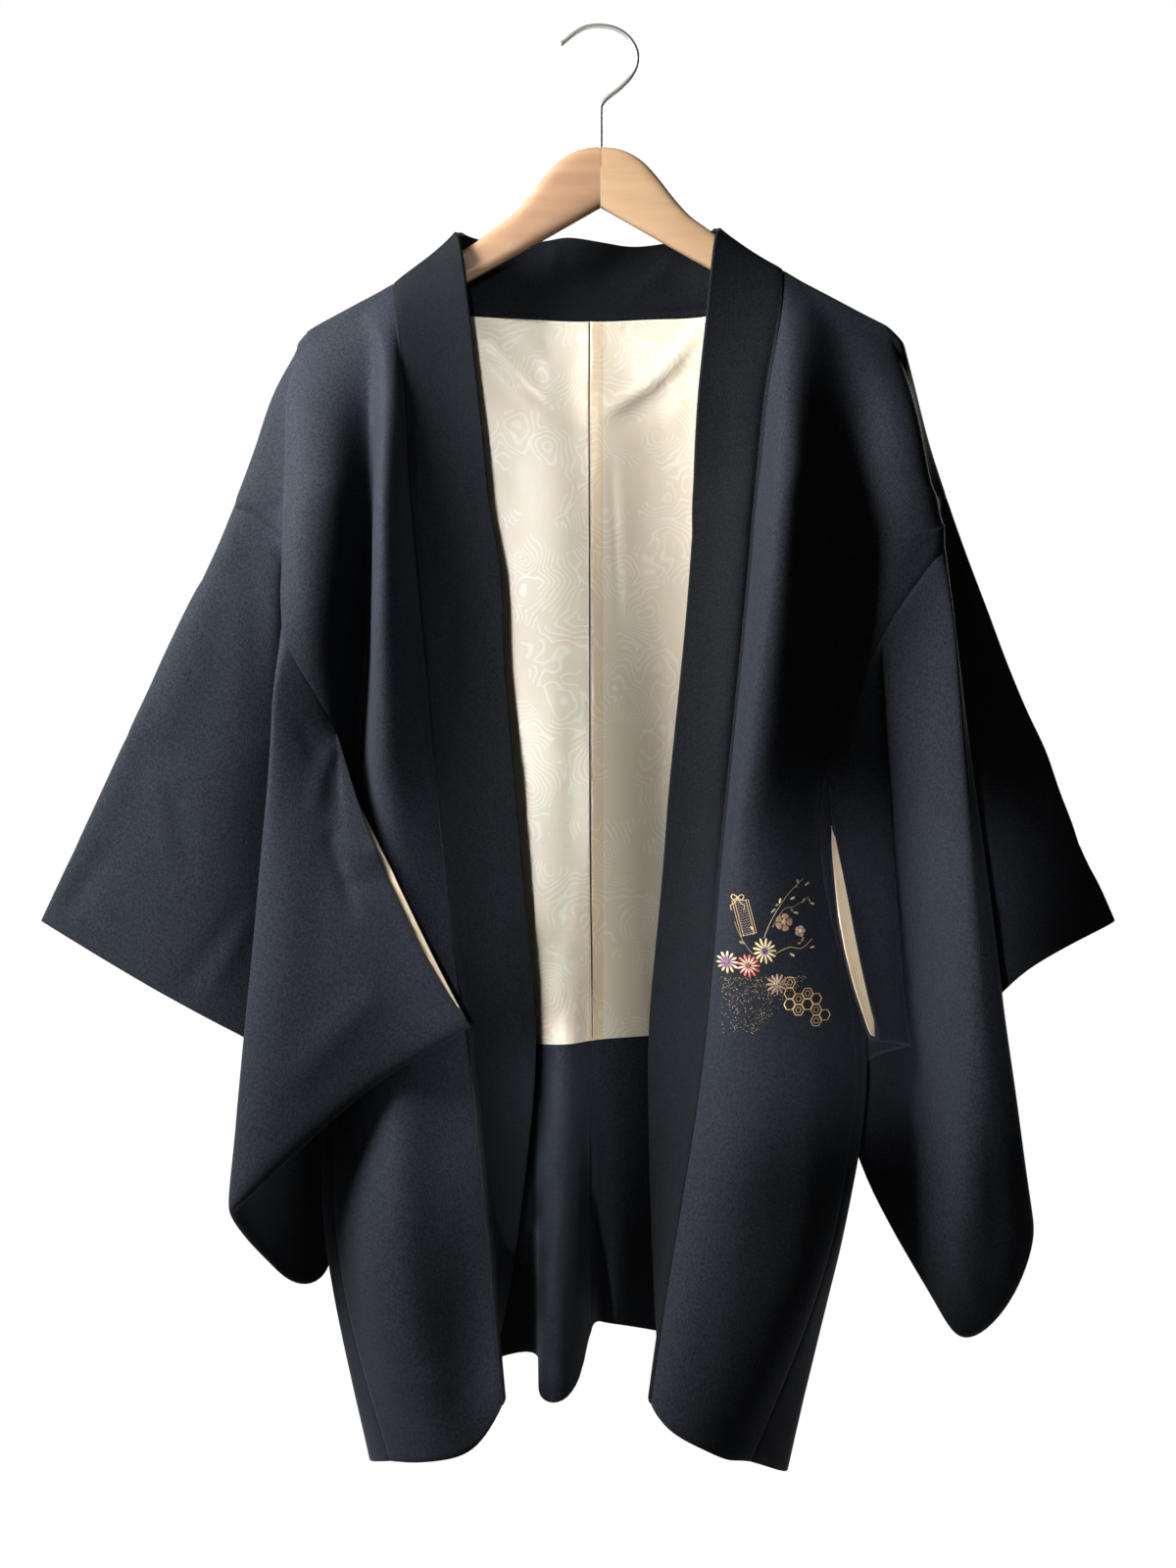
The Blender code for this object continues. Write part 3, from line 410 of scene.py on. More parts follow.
def collarHalf(sheet, side, front, back, frontEdge, backEdge):
    # pairs of a point on the collar's seam and the place of its folded edge, from the hem up
    b = bodySettings
    edges = fillPath(dict(enumerate(frontEdge)))
    numbers = rowNumbers()[::-1]
    seams = [front[row][0] for row in numbers]
    seams += [back[row][0] for row in range(1, b["neckRow"] + 1)]
    seams += [back[b["neckRow"]][fold] for fold in b["backFolds"][::-1] if fold < 0]
    edges = [edges[row] for row in numbers] + list(backEdge)
    return [(seam, placeAt(side, *edge)) for seam, edge in zip(seams, edges)]


def addCollar(sheet, rightHalf, leftHalf):
    path = rightHalf + leftHalf[-2::-1]
    edges = [edge for _, edge in path]
    rows = []
    for i, (seam, edge) in enumerate(path):
        start = sheet.points[seam]
        run = (edges[min(i + 1, len(path) - 1)] - edges[max(i - 1, 0)]).normalized()
        out = run.cross(edge - start).normalized() * clothSettings["collarRound"] * mm
        row = {0: seam}
        for number, share in enumerate(clothSettings["collarRows"], 1):
            swell = out * (1 - (2 * share - 1) ** 2)
            row[number] = sheet.add(start.lerp(edge, share) + swell)
        rows.append(row)
    for near, far in zip(rows, rows[1:]):
        sheet.strip(near, far, "collar")


sleeveSettings = {
    "stations": (0.14, 0.3, 0.44, 0.58, 0.72, 0.86, 0.975, 1.0),
    "frontMark": 20,                # what the points of a sleeve's front and back layers are marked
    "backMark": 30,
    "endRow": {-1: 11, 1: 12},      # the body's row where each armhole ends
    "seamReach": 0.65,              # how far down a sleeve its back layer leans to its own seam
    "liningShow": {-1: 6, 1: 10},   # how far the back layer shows beyond the front one
}
# A sleeve's lines run from the armhole to its far edge. One row each: its name, the fold on the
# armhole where it starts, its middle, its end, the space between the two layers, and if it is
# sewn shut.
rightSleeve = (
    ("furi", 4, (141, -94, -628), (90, -102, -716), 6, True),
    ("front one", 4, (165, -100, -649), (149, -105, -752), 7, True),
    ("front two", 4, (196, -103, -664), (204, -107, -798), 9, True),
    ("fold front", 5, (228, -101, -668), (244, -104, -835), 9, True),
    ("fold tip", 5, (240, -88, -670), (257, -90, -846), 7, True),
    ("fold back", 6, (236, -62, -668), (250, -64, -868), 7, True),
    ("step", 6, (230, -34, -658), (236, -38, -892), 7, True),
    ("corner", 6, (222, -10, -640), (216, -14, -909), 6, True),
    ("hollow", 7, (216, 14, -612), (198, 8, -868), 6, True),
    ("hollow back", 7, (230, 24, -585), (226, 22, -775), 9, False),
    ("flap one", 7, (262, 9, -560), (272, 7, -732), 12, False),
    ("flap two", 8, (297, 5, -530), (340, 5, -693), 12, False),
    ("edge", 8, (329, 8, -497), (403, 11, -656), 7, False),
    ("top fold", 9, (333, 12, -492), (409, 15, -653), 6, False),
)
leftSleeve = (
    ("furi", 4, (179, -60, -662), (195, -63, -728), 7, True),
    ("pleat face", 4, (193, -51, -672), (199, -57, -731), 6, True),
    ("pleat tip", 10, (213, -33, -655), (222, -36, -738), 5, True),
    ("pleat back", 10, (188, -25, -668), (180, -25, -758), 4, True),
    ("tube start", 10, (206, -19, -682), (192, -19, -835), 4, True),
    ("tube", 10, (234, -67, -690), (229, -61, -905), 6, True),
    ("corner", 5, (252, -92, -690), (254, -62, -940), 10, True),
    ("fold front", 5, (266, -91, -692), (286, -68, -914), 10, True),
    ("fold tip", 5, (277, -78, -692), (303, -62, -868), 7, True),
    ("fold back", 6, (273, -52, -690), (297, -38, -850), 7, True),
    ("step", 6, (265, -26, -675), (280, -14, -822), 7, False),
    ("hollow", 7, (262, 0, -640), (262, 6, -778), 7, False),
    ("hollow back", 7, (274, 11, -600), (276, 13, -724), 9, False),
    ("flap", 8, (292, 6, -545), (318, 5, -683), 12, False),
    ("edge", 8, (300, -3, -492), (367, -3, -655), 7, False),
    ("top fold", 9, (305, 1, -487), (373, 1, -651), 6, False),
)


def armhole(rows, endRow, isFront):
    # the body's points that a sleeve's lines start from, by fold; the last one starts its pleat
    b = bodySettings
    folds = {9: 9, 8: 8, 7: 7, 6: 6, 5: 5} if isFront else {9: 9, 8: 8, 7: 8, 6: 6, 5: 6}
    found = {fold: rows[b["shoulderRow"] + b["topFold"] - fold][column]
             for fold, column in folds.items()}
    found[b["bulge"]] = rows[endRow][b["bulge"]]
    if endRow > b["armholeRow"]:
        found[b["topFold"] + 1] = rows[b["armholeRow"]][b["bulge"]]
    return found


def addSleeve(sheet, side, lines, frontRows, backRows, name):
    s = sleeveSettings
    frontSeam = armhole(frontRows, s["endRow"][side], True)
    backSeam = armhole(backRows, s["endRow"][side], False)
    label = "sleeve_" + name
    last = len(lines) - 1
    rows = []
    for share in s["stations"]:
        row = []
        for _, start, middle, end, _, _ in lines:
            first = sheet.points[frontSeam[start]]
            middle, end = placeAt(side, *middle), placeAt(side, *end)
            pull = middle * 2 - (first + end) / 2
            row.append(first * (1 - share) ** 2 + pull * 2 * share * (1 - share) + end * share ** 2)
        rows.append(row)
    starts = [sheet.points[frontSeam[line[1]]] for line in lines]
    seamWidths = [sheet.points[backSeam[line[1]]] - first for line, first in zip(lines, starts)]
    fronts, backs = [], []
    for station, row in enumerate(rows):
        share = s["stations"][station]
        mark = s["frontMark"] + share
        before = rows[station - 1] if station else starts
        after = rows[min(station + 1, len(rows) - 1)]
        front, back = {}, {}
        for key, point in enumerate(row):
            left, right = row[max(key - 1, 0)], row[min(key + 1, last)]
            facing = (after[key] - before[key]).cross(right - left).normalized() * side
            inward = -facing * lines[key][4] * mm
            isShut = lines[key][5] and share == 1.0
            if key == last:
                front[key] = back[key] = sheet.add(point, mark, key)
            elif isShut:
                front[key] = back[key] = sheet.add(point + inward / 2, mark, key)
            else:
                front[key] = sheet.add(point, mark, key)
                behind = point + inward + seamWidths[key] * max(0.0, 1 - share / s["seamReach"]) ** 3
                if key == 0:
                    outward = (row[0] - row[1]).normalized()
                    behind += outward * s["liningShow"][side] * mm * 4 * share * (1 - share)
                back[key] = sheet.add(behind, s["backMark"] + share, key)
        fronts.append(front)
        backs.append(back)
    for layer, seam in ((fronts, frontSeam), (backs, backSeam)):
        for key in range(last):
            near, far = seam[lines[key][1]], seam[lines[key + 1][1]]
            sheet.face([near, layer[0][key], layer[0][key + 1], far], label)
        for upper, lower in zip(layer, layer[1:]):
            sheet.strip(upper, lower, label)


def buildSurface():
    # the whole jacket as one coarse mesh, a material number for each piece
    sheet = Sheet()
    centreSeam = {}
    right = bodyRows(sheet, -1, rightFront, rightBack, centreSeam)
    left = bodyRows(sheet, 1, leftFront, leftBack, centreSeam)
    addBody(sheet, *right, "right")
    addBody(sheet, *left, "left")
    addGusset(sheet, -1, *right, rightGusset, "right")
    addGusset(sheet, 1, *left, leftGusset, "left")
    addCollar(sheet,
              collarHalf(sheet, -1, *right, rightCollarFront, rightCollarBack),
              collarHalf(sheet, 1, *left, leftCollarFront, leftCollarBack))
    addSleeve(sheet, -1, rightSleeve, *right, "right")
    addSleeve(sheet, 1, leftSleeve, *left, "left")
    labels = sorted({label for _, label in sheet.faces})
    mesh = bmesh.new()
    for point in sheet.points:
        mesh.verts.new(point)
    mesh.verts.ensure_lookup_table()
    for corners, label in sheet.faces:
        face = mesh.faces.new([mesh.verts[i] for i in corners])
        face.material_index = labels.index(label)
    bmesh.ops.recalc_face_normals(mesh, faces=mesh.faces)
    sample = right[0][8][bodySettings["bulge"]]         # a point whose cloth faces forwards
    mesh.normal_update()
    if mesh.verts[sample].normal.y > 0:
        bmesh.ops.reverse_faces(mesh, faces=mesh.faces)
    data = bpy.data.meshes.new("surface")
    mesh.to_mesh(data)
    mesh.free()
    for name, column in (("row", 0), ("fold", 1)):
        layer = data.attributes.new(name, "FLOAT", "POINT")
        layer.data.foreach_set("value", [mark[column] for mark in sheet.marks])
    return data, labels


def vectorsOf(data, kind="co"):
    values = np.empty(len(data.vertices) * 3)
    data.vertices.foreach_get(kind, values)
    return values.reshape(-1, 3)


def smoothSurface(data):
    # rounds the coarse mesh, then pulls it back so that its folds keep their depth
    surface = bpy.data.objects.new("surface", data)
    bpy.context.scene.collection.objects.link(surface)
    levels = surface.modifiers.new("smooth", "SUBSURF")
    levels.boundary_smooth = "PRESERVE_CORNERS"
    levels.levels = levels.render_levels = clothSettings["smoothLevels"]
    wanted = vectorsOf(data)
    held = wanted.copy()
    for _ in range(clothSettings["holdRounds"]):
        reached = vectorsOf(surface.evaluated_get(bpy.context.evaluated_depsgraph_get()).data)
        held += (wanted - reached[:len(wanted)]) * clothSettings["holdShare"]
        data.vertices.foreach_set("co", held.ravel())
        data.update()
        bpy.context.view_layer.update()
    smooth = bpy.data.meshes.new_from_object(
        surface.evaluated_get(bpy.context.evaluated_depsgraph_get()))
    bpy.data.objects.remove(surface)
    return smooth


# Creases pressed into the cloth, listed one by one: the route in x and z, how wide and how deep.
creaseSettings = {
    "front_left": (
        (((100, -760), (92, -860), (84, -960)), 13, 0.9),
        (((128, -720), (130, -800), (120, -900)), 12, -0.8),
        (((76, -610), (72, -700), (60, -800)), 9, 0.5),
        (((60, -985), (85, -990), (108, -1000)), 4, -0.5),
        (((165, -260), (178, -330), (182, -400)), 12, 0.8),
        (((128, -235), (116, -331), (109, -414), (100, -496), (92, -572), (87, -625)), 2.4, -2.6),
    ),
    "front_right": (
        (((-138, -765), (-148, -830), (-152, -905)), 12, 0.9),
        (((-112, -780), (-118, -860), (-110, -950)), 13, -0.8),
        (((-172, -980), (-140, -976), (-112, -985)), 5, -0.7),
        (((-165, -960), (-130, -952), (-98, -962)), 7, 0.5),
        (((-206, -330), (-202, -420), (-208, -480)), 11, 0.7),
        (((-130, -300), (-122, -400), (-112, -520)), 6, 0.4),
    ),
    "collar": (
        (((-36, -150), (-34, -170), (-42, -190)), 6, -1.1),
        (((-60, -156), (-56, -172), (-64, -190)), 7, 0.8),
        (((20, -153), (8, -170), (-10, -182)), 7, 0.9),
        (((56, -158), (41, -176), (18, -187)), 6, -0.9),
        (((-98, -165), (-92, -200), (-94, -240)), 7, -0.6),
        (((92, -640), (84, -720), (70, -800)), 8, -0.5),
    ),
    "back_right": (
        (((-98, -207), (-57, -250), (-13, -288)), 3.5, -2.8),
        (((-97, -229), (-54, -272), (-15, -296)), 9, 1.6),
        (((-60, -212), (-40, -238), (-30, -262)), 4, -0.8),
        (((-42, -682), (-24, -672), (-10, -667)), 4, -2.4),
        (((-40, -690), (-36, -715), (-37, -740)), 5, 0.9),
        (((-26, -440), (-24, -560), (-22, -640)), 8, -0.8),
        (((-120, -330), (-128, -500), (-118, -700)), 22, 2.4),
        (((-160, -420), (-150, -640), (-140, -900)), 18, -2.0),
        (((-75, -740), (-90, -850), (-84, -960)), 14, 1.6),
        (((-190, -300), (-170, -400), (-176, -520)), 12, 1.2),
    ),
    "back_left": (
        (((76, -210), (41, -248), (-2, -277)), 3.5, -2.6),
        (((76, -232), (46, -262), (4, -290)), 9, 1.4),
        (((50, -222), (58, -260), (52, -300)), 6, -0.7),
        (((7, -302), (11, -375), (14, -441)), 3, 1.3),
        (((40, -400), (44, -500), (38, -620)), 8, 0.9),
        (((27, -595), (31, -661), (20, -741)), 10, 1.2),
        (((100, -300), (112, -480), (104, -690)), 24, 2.2),
        (((140, -420), (136, -600), (118, -880)), 17, -2.2),
        (((60, -760), (70, -860), (76, -960)), 12, -1.6),
        (((188, -290), (176, -380), (172, -500)), 12, 1.1),
    ),
    "sleeve_right": (
        (((-257, -640), (-276, -676), (-299, -716)), 5, 2.1),
        (((-263, -640), (-284, -676), (-308, -712)), 6, -2.2),
        (((-331, -544), (-320, -572), (-310, -612)), 7, 1.8),
        (((-318, -548), (-309, -580), (-302, -620)), 7, -1.4),
        (((-359, -596), (-377, -624), (-395, -650)), 8, -1.9),
        (((-286, -404), (-309, -472), (-331, -522)), 20, 2.9),
        (((-259, -380), (-249, -437), (-251, -522)), 12, -2.1),
        (((-210, -506), (-198, -534), (-180, -556)), 4, -1.6),
        (((-180, -512), (-194, -544), (-197, -574)), 5, 1.8),
        (((-190, -586), (-180, -608), (-168, -644)), 5, -2.2),
        (((-186, -590), (-157, -599), (-138, -583)), 5, 1.8),
        (((-182, -622), (-143, -617), (-121, -634)), 6, -1.4),
        (((-210, -570), (-218, -680), (-231, -790)), 18, 2.2),
        (((-150, -690), (-180, -720), (-214, -760)), 12, 1.6),
        (((-340, -470), (-352, -540), (-380, -600)), 10, 1.3),
    ),
    "sleeve_left": (
        (((262, -420), (274, -560), (286, -700)), 14, 1.4),
        (((244, -450), (238, -600), (238, -760)), 15, 1.4),
        (((262, -760), (272, -830), (276, -890)), 12, -1.6),
        (((236, -840), (252, -880), (262, -915)), 7, 1.3),
        (((330, -470), (318, -560), (322, -640)), 13, 2.6),
        (((362, -540), (352, -600), (348, -650)), 9, -2.1),
        (((206, -600), (208, -660), (206, -720)), 6, 1.1),
    ),
}
creaseRun = {"steps": 5, "fade": 0.7}       # how finely a crease's route runs and how it fades out
unevenness = {"height": 0.55, "across": 26, "down": 75, "calm": 6}      # small waves, calm at seams


def creaseHeights(places, creases):
    flat = places[:, (0, 2)] / mm
    heights = np.zeros(len(flat))
    for route, width, depth in creases:
        route = smoothBetween([Vector(point) for point in route], creaseRun["steps"])
        nearest, share = np.full(len(flat), 1e9), np.zeros(len(flat))
        for i, (start, end) in enumerate(zip(route, route[1:])):
            run = np.array(end - start)
            t = np.clip((flat - np.array(start)) @ run / (run @ run), 0, 1)
            away = np.linalg.norm(flat - np.array(start) - t[:, None] * run, axis=1)
            closer = away < nearest
            nearest[closer] = away[closer]
            share[closer] = (i + t[closer]) / (len(route) - 1)
        fade = np.sin(np.pi * share) ** creaseRun["fade"]
        heights += depth * fade * np.exp(-(nearest / width) ** 2)
    return heights * mm


def marksOf(data, name):
    values = np.empty(len(data.vertices))
    data.attributes[name].data.foreach_get("value", values)
    return values


def setCloth():
    # the creased surface of the whole jacket: places, normals, faces, their pieces and marks
    rough, labels = buildSurface()
    data = smoothSurface(rough)
    faces = np.empty(len(data.loops), int)
    data.loops.foreach_get("vertex_index", faces)
    faces = faces.reshape(-1, 4)
    owners = np.empty(len(data.polygons), int)
    data.polygons.foreach_get("material_index", owners)
    places, normals = vectorsOf(data), vectorsOf(data, "normal")
    used = np.zeros((len(places), len(labels)), bool)
    for corner in range(4):
        used[faces[:, corner], owners] = True
    onSeam = used.sum(axis=1) > 1
    tree = KDTree(int(onSeam.sum()))
    for i, place in enumerate(places[onSeam]):
        tree.insert(place, i)
    tree.balance()
    away = np.array([tree.find(place)[2] for place in places])
    lift = -clothSettings["seamDip"] * mm * np.exp(-(away / (clothSettings["seamReach"] * mm)) ** 2)
    u = unevenness
    calm = 1 - np.exp(-(away / (u["calm"] * mm)) ** 2)
    stretch = np.array((u["across"], u["across"], u["down"])) * mm
    waves = np.array([noise.noise(Vector(place)) for place in places / stretch])
    lift += waves * u["height"] * mm * calm
    for number, label in enumerate(labels):
        own = used[:, number]
        lift[own] += creaseHeights(places[own], creaseSettings.get(label, ())) * calm[own]
    places += normals * lift[:, None]
    data.vertices.foreach_set("co", places.ravel())
    data.update()
    return {"places": places, "normals": vectorsOf(data, "normal"), "faces": faces, "owners": owners,
            "labels": labels, "row": marksOf(data, "row"), "fold": marksOf(data, "fold")}


def shell(name, places, normals, faces, wall, gap, roundness):
    # thickens faces to both sides and rounds the edges between the two
    used, small = np.unique(faces, return_inverse=True)
    small = small.reshape(faces.shape)
    here, facing = places[used], normals[used]
    starts, ends = small.ravel(), np.roll(small, -1, axis=1).ravel()
    count = len(used)
    forward, backward = starts * count + ends, ends * count + starts
    free = ~np.isin(forward, backward)
    starts, ends = starts[free], ends[free]
    run = here[ends] - here[starts]
    run /= np.linalg.norm(run, axis=1)[:, None] + 1e-12
    outward = np.zeros_like(here)
    np.add.at(outward, starts, np.cross(run, facing[starts]))
    np.add.at(outward, ends, np.cross(run, facing[ends]))
    length = np.linalg.norm(outward, axis=1)
    onRim = length > 0
    outward[onRim] /= length[onRim, None]
    here = here - outward * gap
    reach = facing * wall / 2
    rim = np.flatnonzero(onRim)
    number = np.full(count, -1)
    number[rim] = np.arange(len(rim))
    points = [here + reach, here - reach]
    turns = (45, 90, 135)           # where the rounded edge has its points
    for turn in turns:
        angle = math.radians(turn)
        points.append(here[rim] + reach[rim] * math.cos(angle)
                      + outward[rim] * roundness * math.sin(angle))
    quads = [small, small[:, ::-1] + count]
    rings = [lambda i: i]
    for k in range(len(turns)):
        rings.append(lambda i, k=k: 2 * count + k * len(rim) + number[i])
    rings.append(lambda i: i + count)
    for upper, lower in zip(rings, rings[1:]):
        quads.append(np.stack([upper(ends), upper(starts), lower(starts), lower(ends)], axis=1))
    return meshFrom(name, np.vstack(points), np.vstack(quads))


def meshFrom(name, points, faces, ofPart=True):
    data = bpy.data.meshes.new(name)
    data.from_pydata([tuple(point) for point in points], [], [list(face) for face in faces])
    data.shade_smooth()
    made = bpy.data.objects.new(name, data)
    bpy.context.scene.collection.objects.link(made)
    if ofPart:
        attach(made, bodyName)
    return made


def finishPiece(made, look, nodes):
    made.data.materials.append(look)
    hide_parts(*nodes)
    return made


def areaOf(cloth, chosen):
    corners = cloth["places"][cloth["faces"][chosen]]
    across, down = corners[:, 2] - corners[:, 0], corners[:, 3] - corners[:, 1]
    return float(np.linalg.norm(np.cross(across, down), axis=1).sum() / 2)


def cutPieces(cloth, looks):
    c = clothSettings
    made = {}
    for number, label in enumerate(cloth["labels"]):
        chosen = cloth["owners"] == number
        isCollar = label == "collar"
        wall = c["collarWall"] if isCollar else c["wall"]
        roundness = c["collarEdgeShare"] * wall if isCollar else c["edgeRound"]
        made[label] = shell(label + "_cloth", cloth["places"], cloth["normals"],
                            cloth["faces"][chosen], wall * mm, c["seamInset"] * mm, roundness * mm)
        kind = "collar" if isCollar else "cloth"
        finishPiece(made[label], looks[kind], [label])
        print(label, round(areaOf(cloth, chosen), 4), "m2")
    return made


liningSettings = {
    "stripWidth": 10,               # the strip that covers the centre seam's turnings
    "stripEdge": 0.6,
    "stripHeight": 0.45,
    "sleeveReach": 0.8,             # how far a sleeve's lining goes in from its edge, in folds
    "sleeveEnd": 0.99,
}


def layLining(cloth, backing, inside, name, look, extra):
    # the lining under those faces of its backing whose corners all lie inside
    c = clothSettings
    own = cloth["owners"] == cloth["labels"].index(backing)
    chosen = own & inside[cloth["faces"]].all(axis=1)
    inset = ((c["wall"] + c["liningWall"]) / 2 + c["liningGap"]) * mm
    places = cloth["places"] - cloth["normals"] * np.reshape(inset + extra, (-1, 1))
    made = shell(name + "_cloth", places, cloth["normals"], cloth["faces"][chosen],
                 c["liningWall"] * mm, c["liningInset"] * mm, c["liningEdge"] * mm)
    print(name, round(areaOf(cloth, chosen), 4), "m2")
    return finishPiece(made, look, [name])


def addLinings(cloth, looks):
    s = liningSettings
    row, fold = cloth["row"], cloth["fold"]
    inBack = (row <= bodySettings["liningRow"] + 0.001) & (fold <= 0.001)
    backMark = sleeveSettings["backMark"]
    inSleeve = (row >= backMark) & (row < backMark + s["sleeveEnd"]) & (fold <= s["sleeveReach"])
    aside = (cloth["places"][:, 0] - bodySettings["centreX"] * mm) / mm
    ramp = 2 * s["stripEdge"]
    strip = np.clip((aside + s["stripEdge"]) / ramp, 0, 1)
    strip *= np.clip((s["stripWidth"] - aside) / ramp, 0, 1) * s["stripHeight"] * mm
    made = {}
    for name in ("right", "left"):
        own = "lining_" + name
        made[own] = layLining(cloth, "back_" + name, inBack, own, looks["lining"], strip)
        own = "sleeve_lining_" + name
        made[own] = layLining(cloth, "sleeve_" + name, inSleeve, own, looks["sleeveLining"],
                              np.zeros(len(row)))
    return made


hangerSettings = {
    "reach": 213,
    "halfThick": 6.0,
    "tipRound": 7.0,
    "tipShare": 0.97,               # how nearly the arm's tip closes
    "squareness": 0.62,             # of the arm's section: 1 is round
    "armSteps": 28,
    "wireSteps": 20,
    "restGap": 0.3,
    "crest": ((0, -87), (10, -88), (20, -91), (31, -98), (42, -110), (52, -123), (64, -136.5),
              (76, -145.5), (88, -154), (104, -164), (213, -222)),
    "under": ((0, -131), (60, -165), (104, -189), (160, -220), (213, -242)),
    "wireRadius": 1.6,
    "hook": ((-29.5, -12.2), (-25, -8.6), (-18.5, -3.4), (-10.5, 0.6), (0, 1.6), (11, -0.6),
             (20, -6.6), (25.6, -15.5), (26.6, -25), (22.6, -34.6), (14, -43.8), (5.5, -50.5),
             (1.0, -55.5), (0, -61), (0, -78), (0, -101)),
}


def tubeFaces(rings, steps):
    # the faces of a closed tube of rings, with a cap at each end
    faces = []
    for ring in range(rings - 1):
        for step in range(steps):
            a, b = ring * steps + step, ring * steps + (step + 1) % steps
            faces.append([a, a + steps, b + steps, b])
    last = (rings - 1) * steps
    return faces + [list(range(steps)), [last + step for step in range(steps)][::-1]]


def addArm(side, name, look):
    s = hangerSettings
    reaches = np.concatenate([np.linspace(0.15, 110, 40), np.linspace(116, 204, 16),
                              s["reach"] - s["tipRound"] * np.cos(np.linspace(0.1, 1.5, 9))])
    crest, under = curveRoute(s["crest"], 6), curveRoute(s["under"], 6)
    steps, power = s["armSteps"], s["squareness"]
    points = []
    for reach in reaches:
        tip = max(0.0, reach - s["reach"] + s["tipRound"]) / s["tipRound"]
        shrink = math.sqrt(max(0.0, 1 - (s["tipShare"] * tip) ** 2))
        top, bottom = along(crest, reach), along(under, reach)
        for step in range(steps):
            angle = 2 * math.pi * step / steps
            across, up = math.cos(angle), math.sin(angle)
            y = s["halfThick"] * math.copysign(abs(across) ** power, across) * shrink
            z = (top + bottom) / 2 + (top - bottom) / 2 * math.copysign(abs(up) ** power, up) * shrink
            points.append((side * reach * mm, y * mm, z * mm))
    faces = tubeFaces(len(reaches), steps)
    if side > 0:
        faces = [face[::-1] for face in faces]
    made = meshFrom(name, points, faces)
    made.data.set_sharp_from_angle(angle=math.radians(50))
    return finishPiece(made, look, [name.replace("_wood", "")])


def addHook(look):
    s = hangerSettings
    route = smoothBetween([Vector((x, 0, z)) for x, z in s["hook"]], 8)
    steps = s["wireSteps"]
    points = []
    for i, place in enumerate(route):
        run = (route[min(i + 1, len(route) - 1)] - route[max(i - 1, 0)]).normalized()
        beside = Vector((0, 1, 0)).cross(run)
        radius = s["wireRadius"] * (1.16 - 0.16 * min(1, i / 6)) * (0.55 if i == 0 else 1)
        for step in range(steps):
            angle = 2 * math.pi * step / steps
            out = beside * math.cos(angle) + Vector((0, 1, 0)) * math.sin(angle)
            points.append((place + out * radius) * mm)
    made = meshFrom("hook_wire", points, tubeFaces(len(route), steps))
    return finishPiece(made, look, ["hanger_hook"])


# The colours of each finish; where there are two, they are its grain's or its pattern's.
lookSettings = {
    "cloth": (0.0170, 0.0200, 0.0265),
    "clothSheen": 0.04,
    # the collar is the cloth's own silk; its darker colour is painted shade, as it faces away from the
    # light
    "collar": (0.0066, 0.0079, 0.0101),
    "collarSheen": 0.015,
    "lining": ((0.83, 0.73, 0.565), (0.90, 0.835, 0.71)),
    "liningStrip": ((0.78, 0.62, 0.42), (0.84, 0.70, 0.50)),
    "sleeveLining": (0.88, 0.70, 0.49),
    "rightWood": ((0.39, 0.234, 0.135), (0.335, 0.193, 0.109)),
    "leftWood": ((0.52, 0.34, 0.195), (0.47, 0.30, 0.17)),
    "steel": (0.62, 0.60, 0.57),
}
threadColours = {
    "cream": (0.92, 0.80, 0.58),
    "straw": (0.88, 0.68, 0.32),
    "coral": (0.90, 0.20, 0.16),
    "violet": (0.34, 0.17, 0.42),
    "dove": (0.46, 0.38, 0.34),
    "plum": (0.42, 0.23, 0.17),
    "leaf": (0.40, 0.34, 0.18),
    "gold": (0.93, 0.66, 0.32),
}


def newLook(name, colour, roughness, metallic=0.0):
    look = bpy.data.materials.new(name)
    look.use_nodes = True
    shader = look.node_tree.nodes["Principled BSDF"]
    shader.inputs["Base Color"].default_value = (*colour, 1)
    shader.inputs["Roughness"].default_value = roughness
    shader.inputs["Metallic"].default_value = metallic
    return look, look.node_tree.nodes, look.node_tree.links, shader


def noiseNode(nodes, links, scale, detail=3.0, stretch=(1, 1, 1), turn=0.0):
    place = nodes.new("ShaderNodeTexCoord")
    mapping = nodes.new("ShaderNodeMapping")
    mapping.inputs["Rotation"].default_value = (0, turn, 0)
    mapping.inputs["Scale"].default_value = stretch
    texture = nodes.new("ShaderNodeTexNoise")
    texture.inputs["Scale"].default_value = scale
    texture.inputs["Detail"].default_value = detail
    links.new(place.outputs["Object"], mapping.inputs["Vector"])
    links.new(mapping.outputs["Vector"], texture.inputs["Vector"])
    return texture


def addBump(nodes, links, shader, height, strength, distance):
    bump = nodes.new("ShaderNodeBump")
    bump.inputs["Strength"].default_value = strength
    bump.inputs["Distance"].default_value = distance
    links.new(height, bump.inputs["Height"])
    links.new(bump.outputs["Normal"], shader.inputs["Normal"])


def addRamp(nodes, links, source, stops):
    ramp = nodes.new("ShaderNodeValToRGB")
    for element, (position, colour) in zip(ramp.color_ramp.elements, stops):
        element.position = position
        element.color = (*colour, 1)
    links.new(source, ramp.inputs["Fac"])
    return ramp.outputs["Color"]


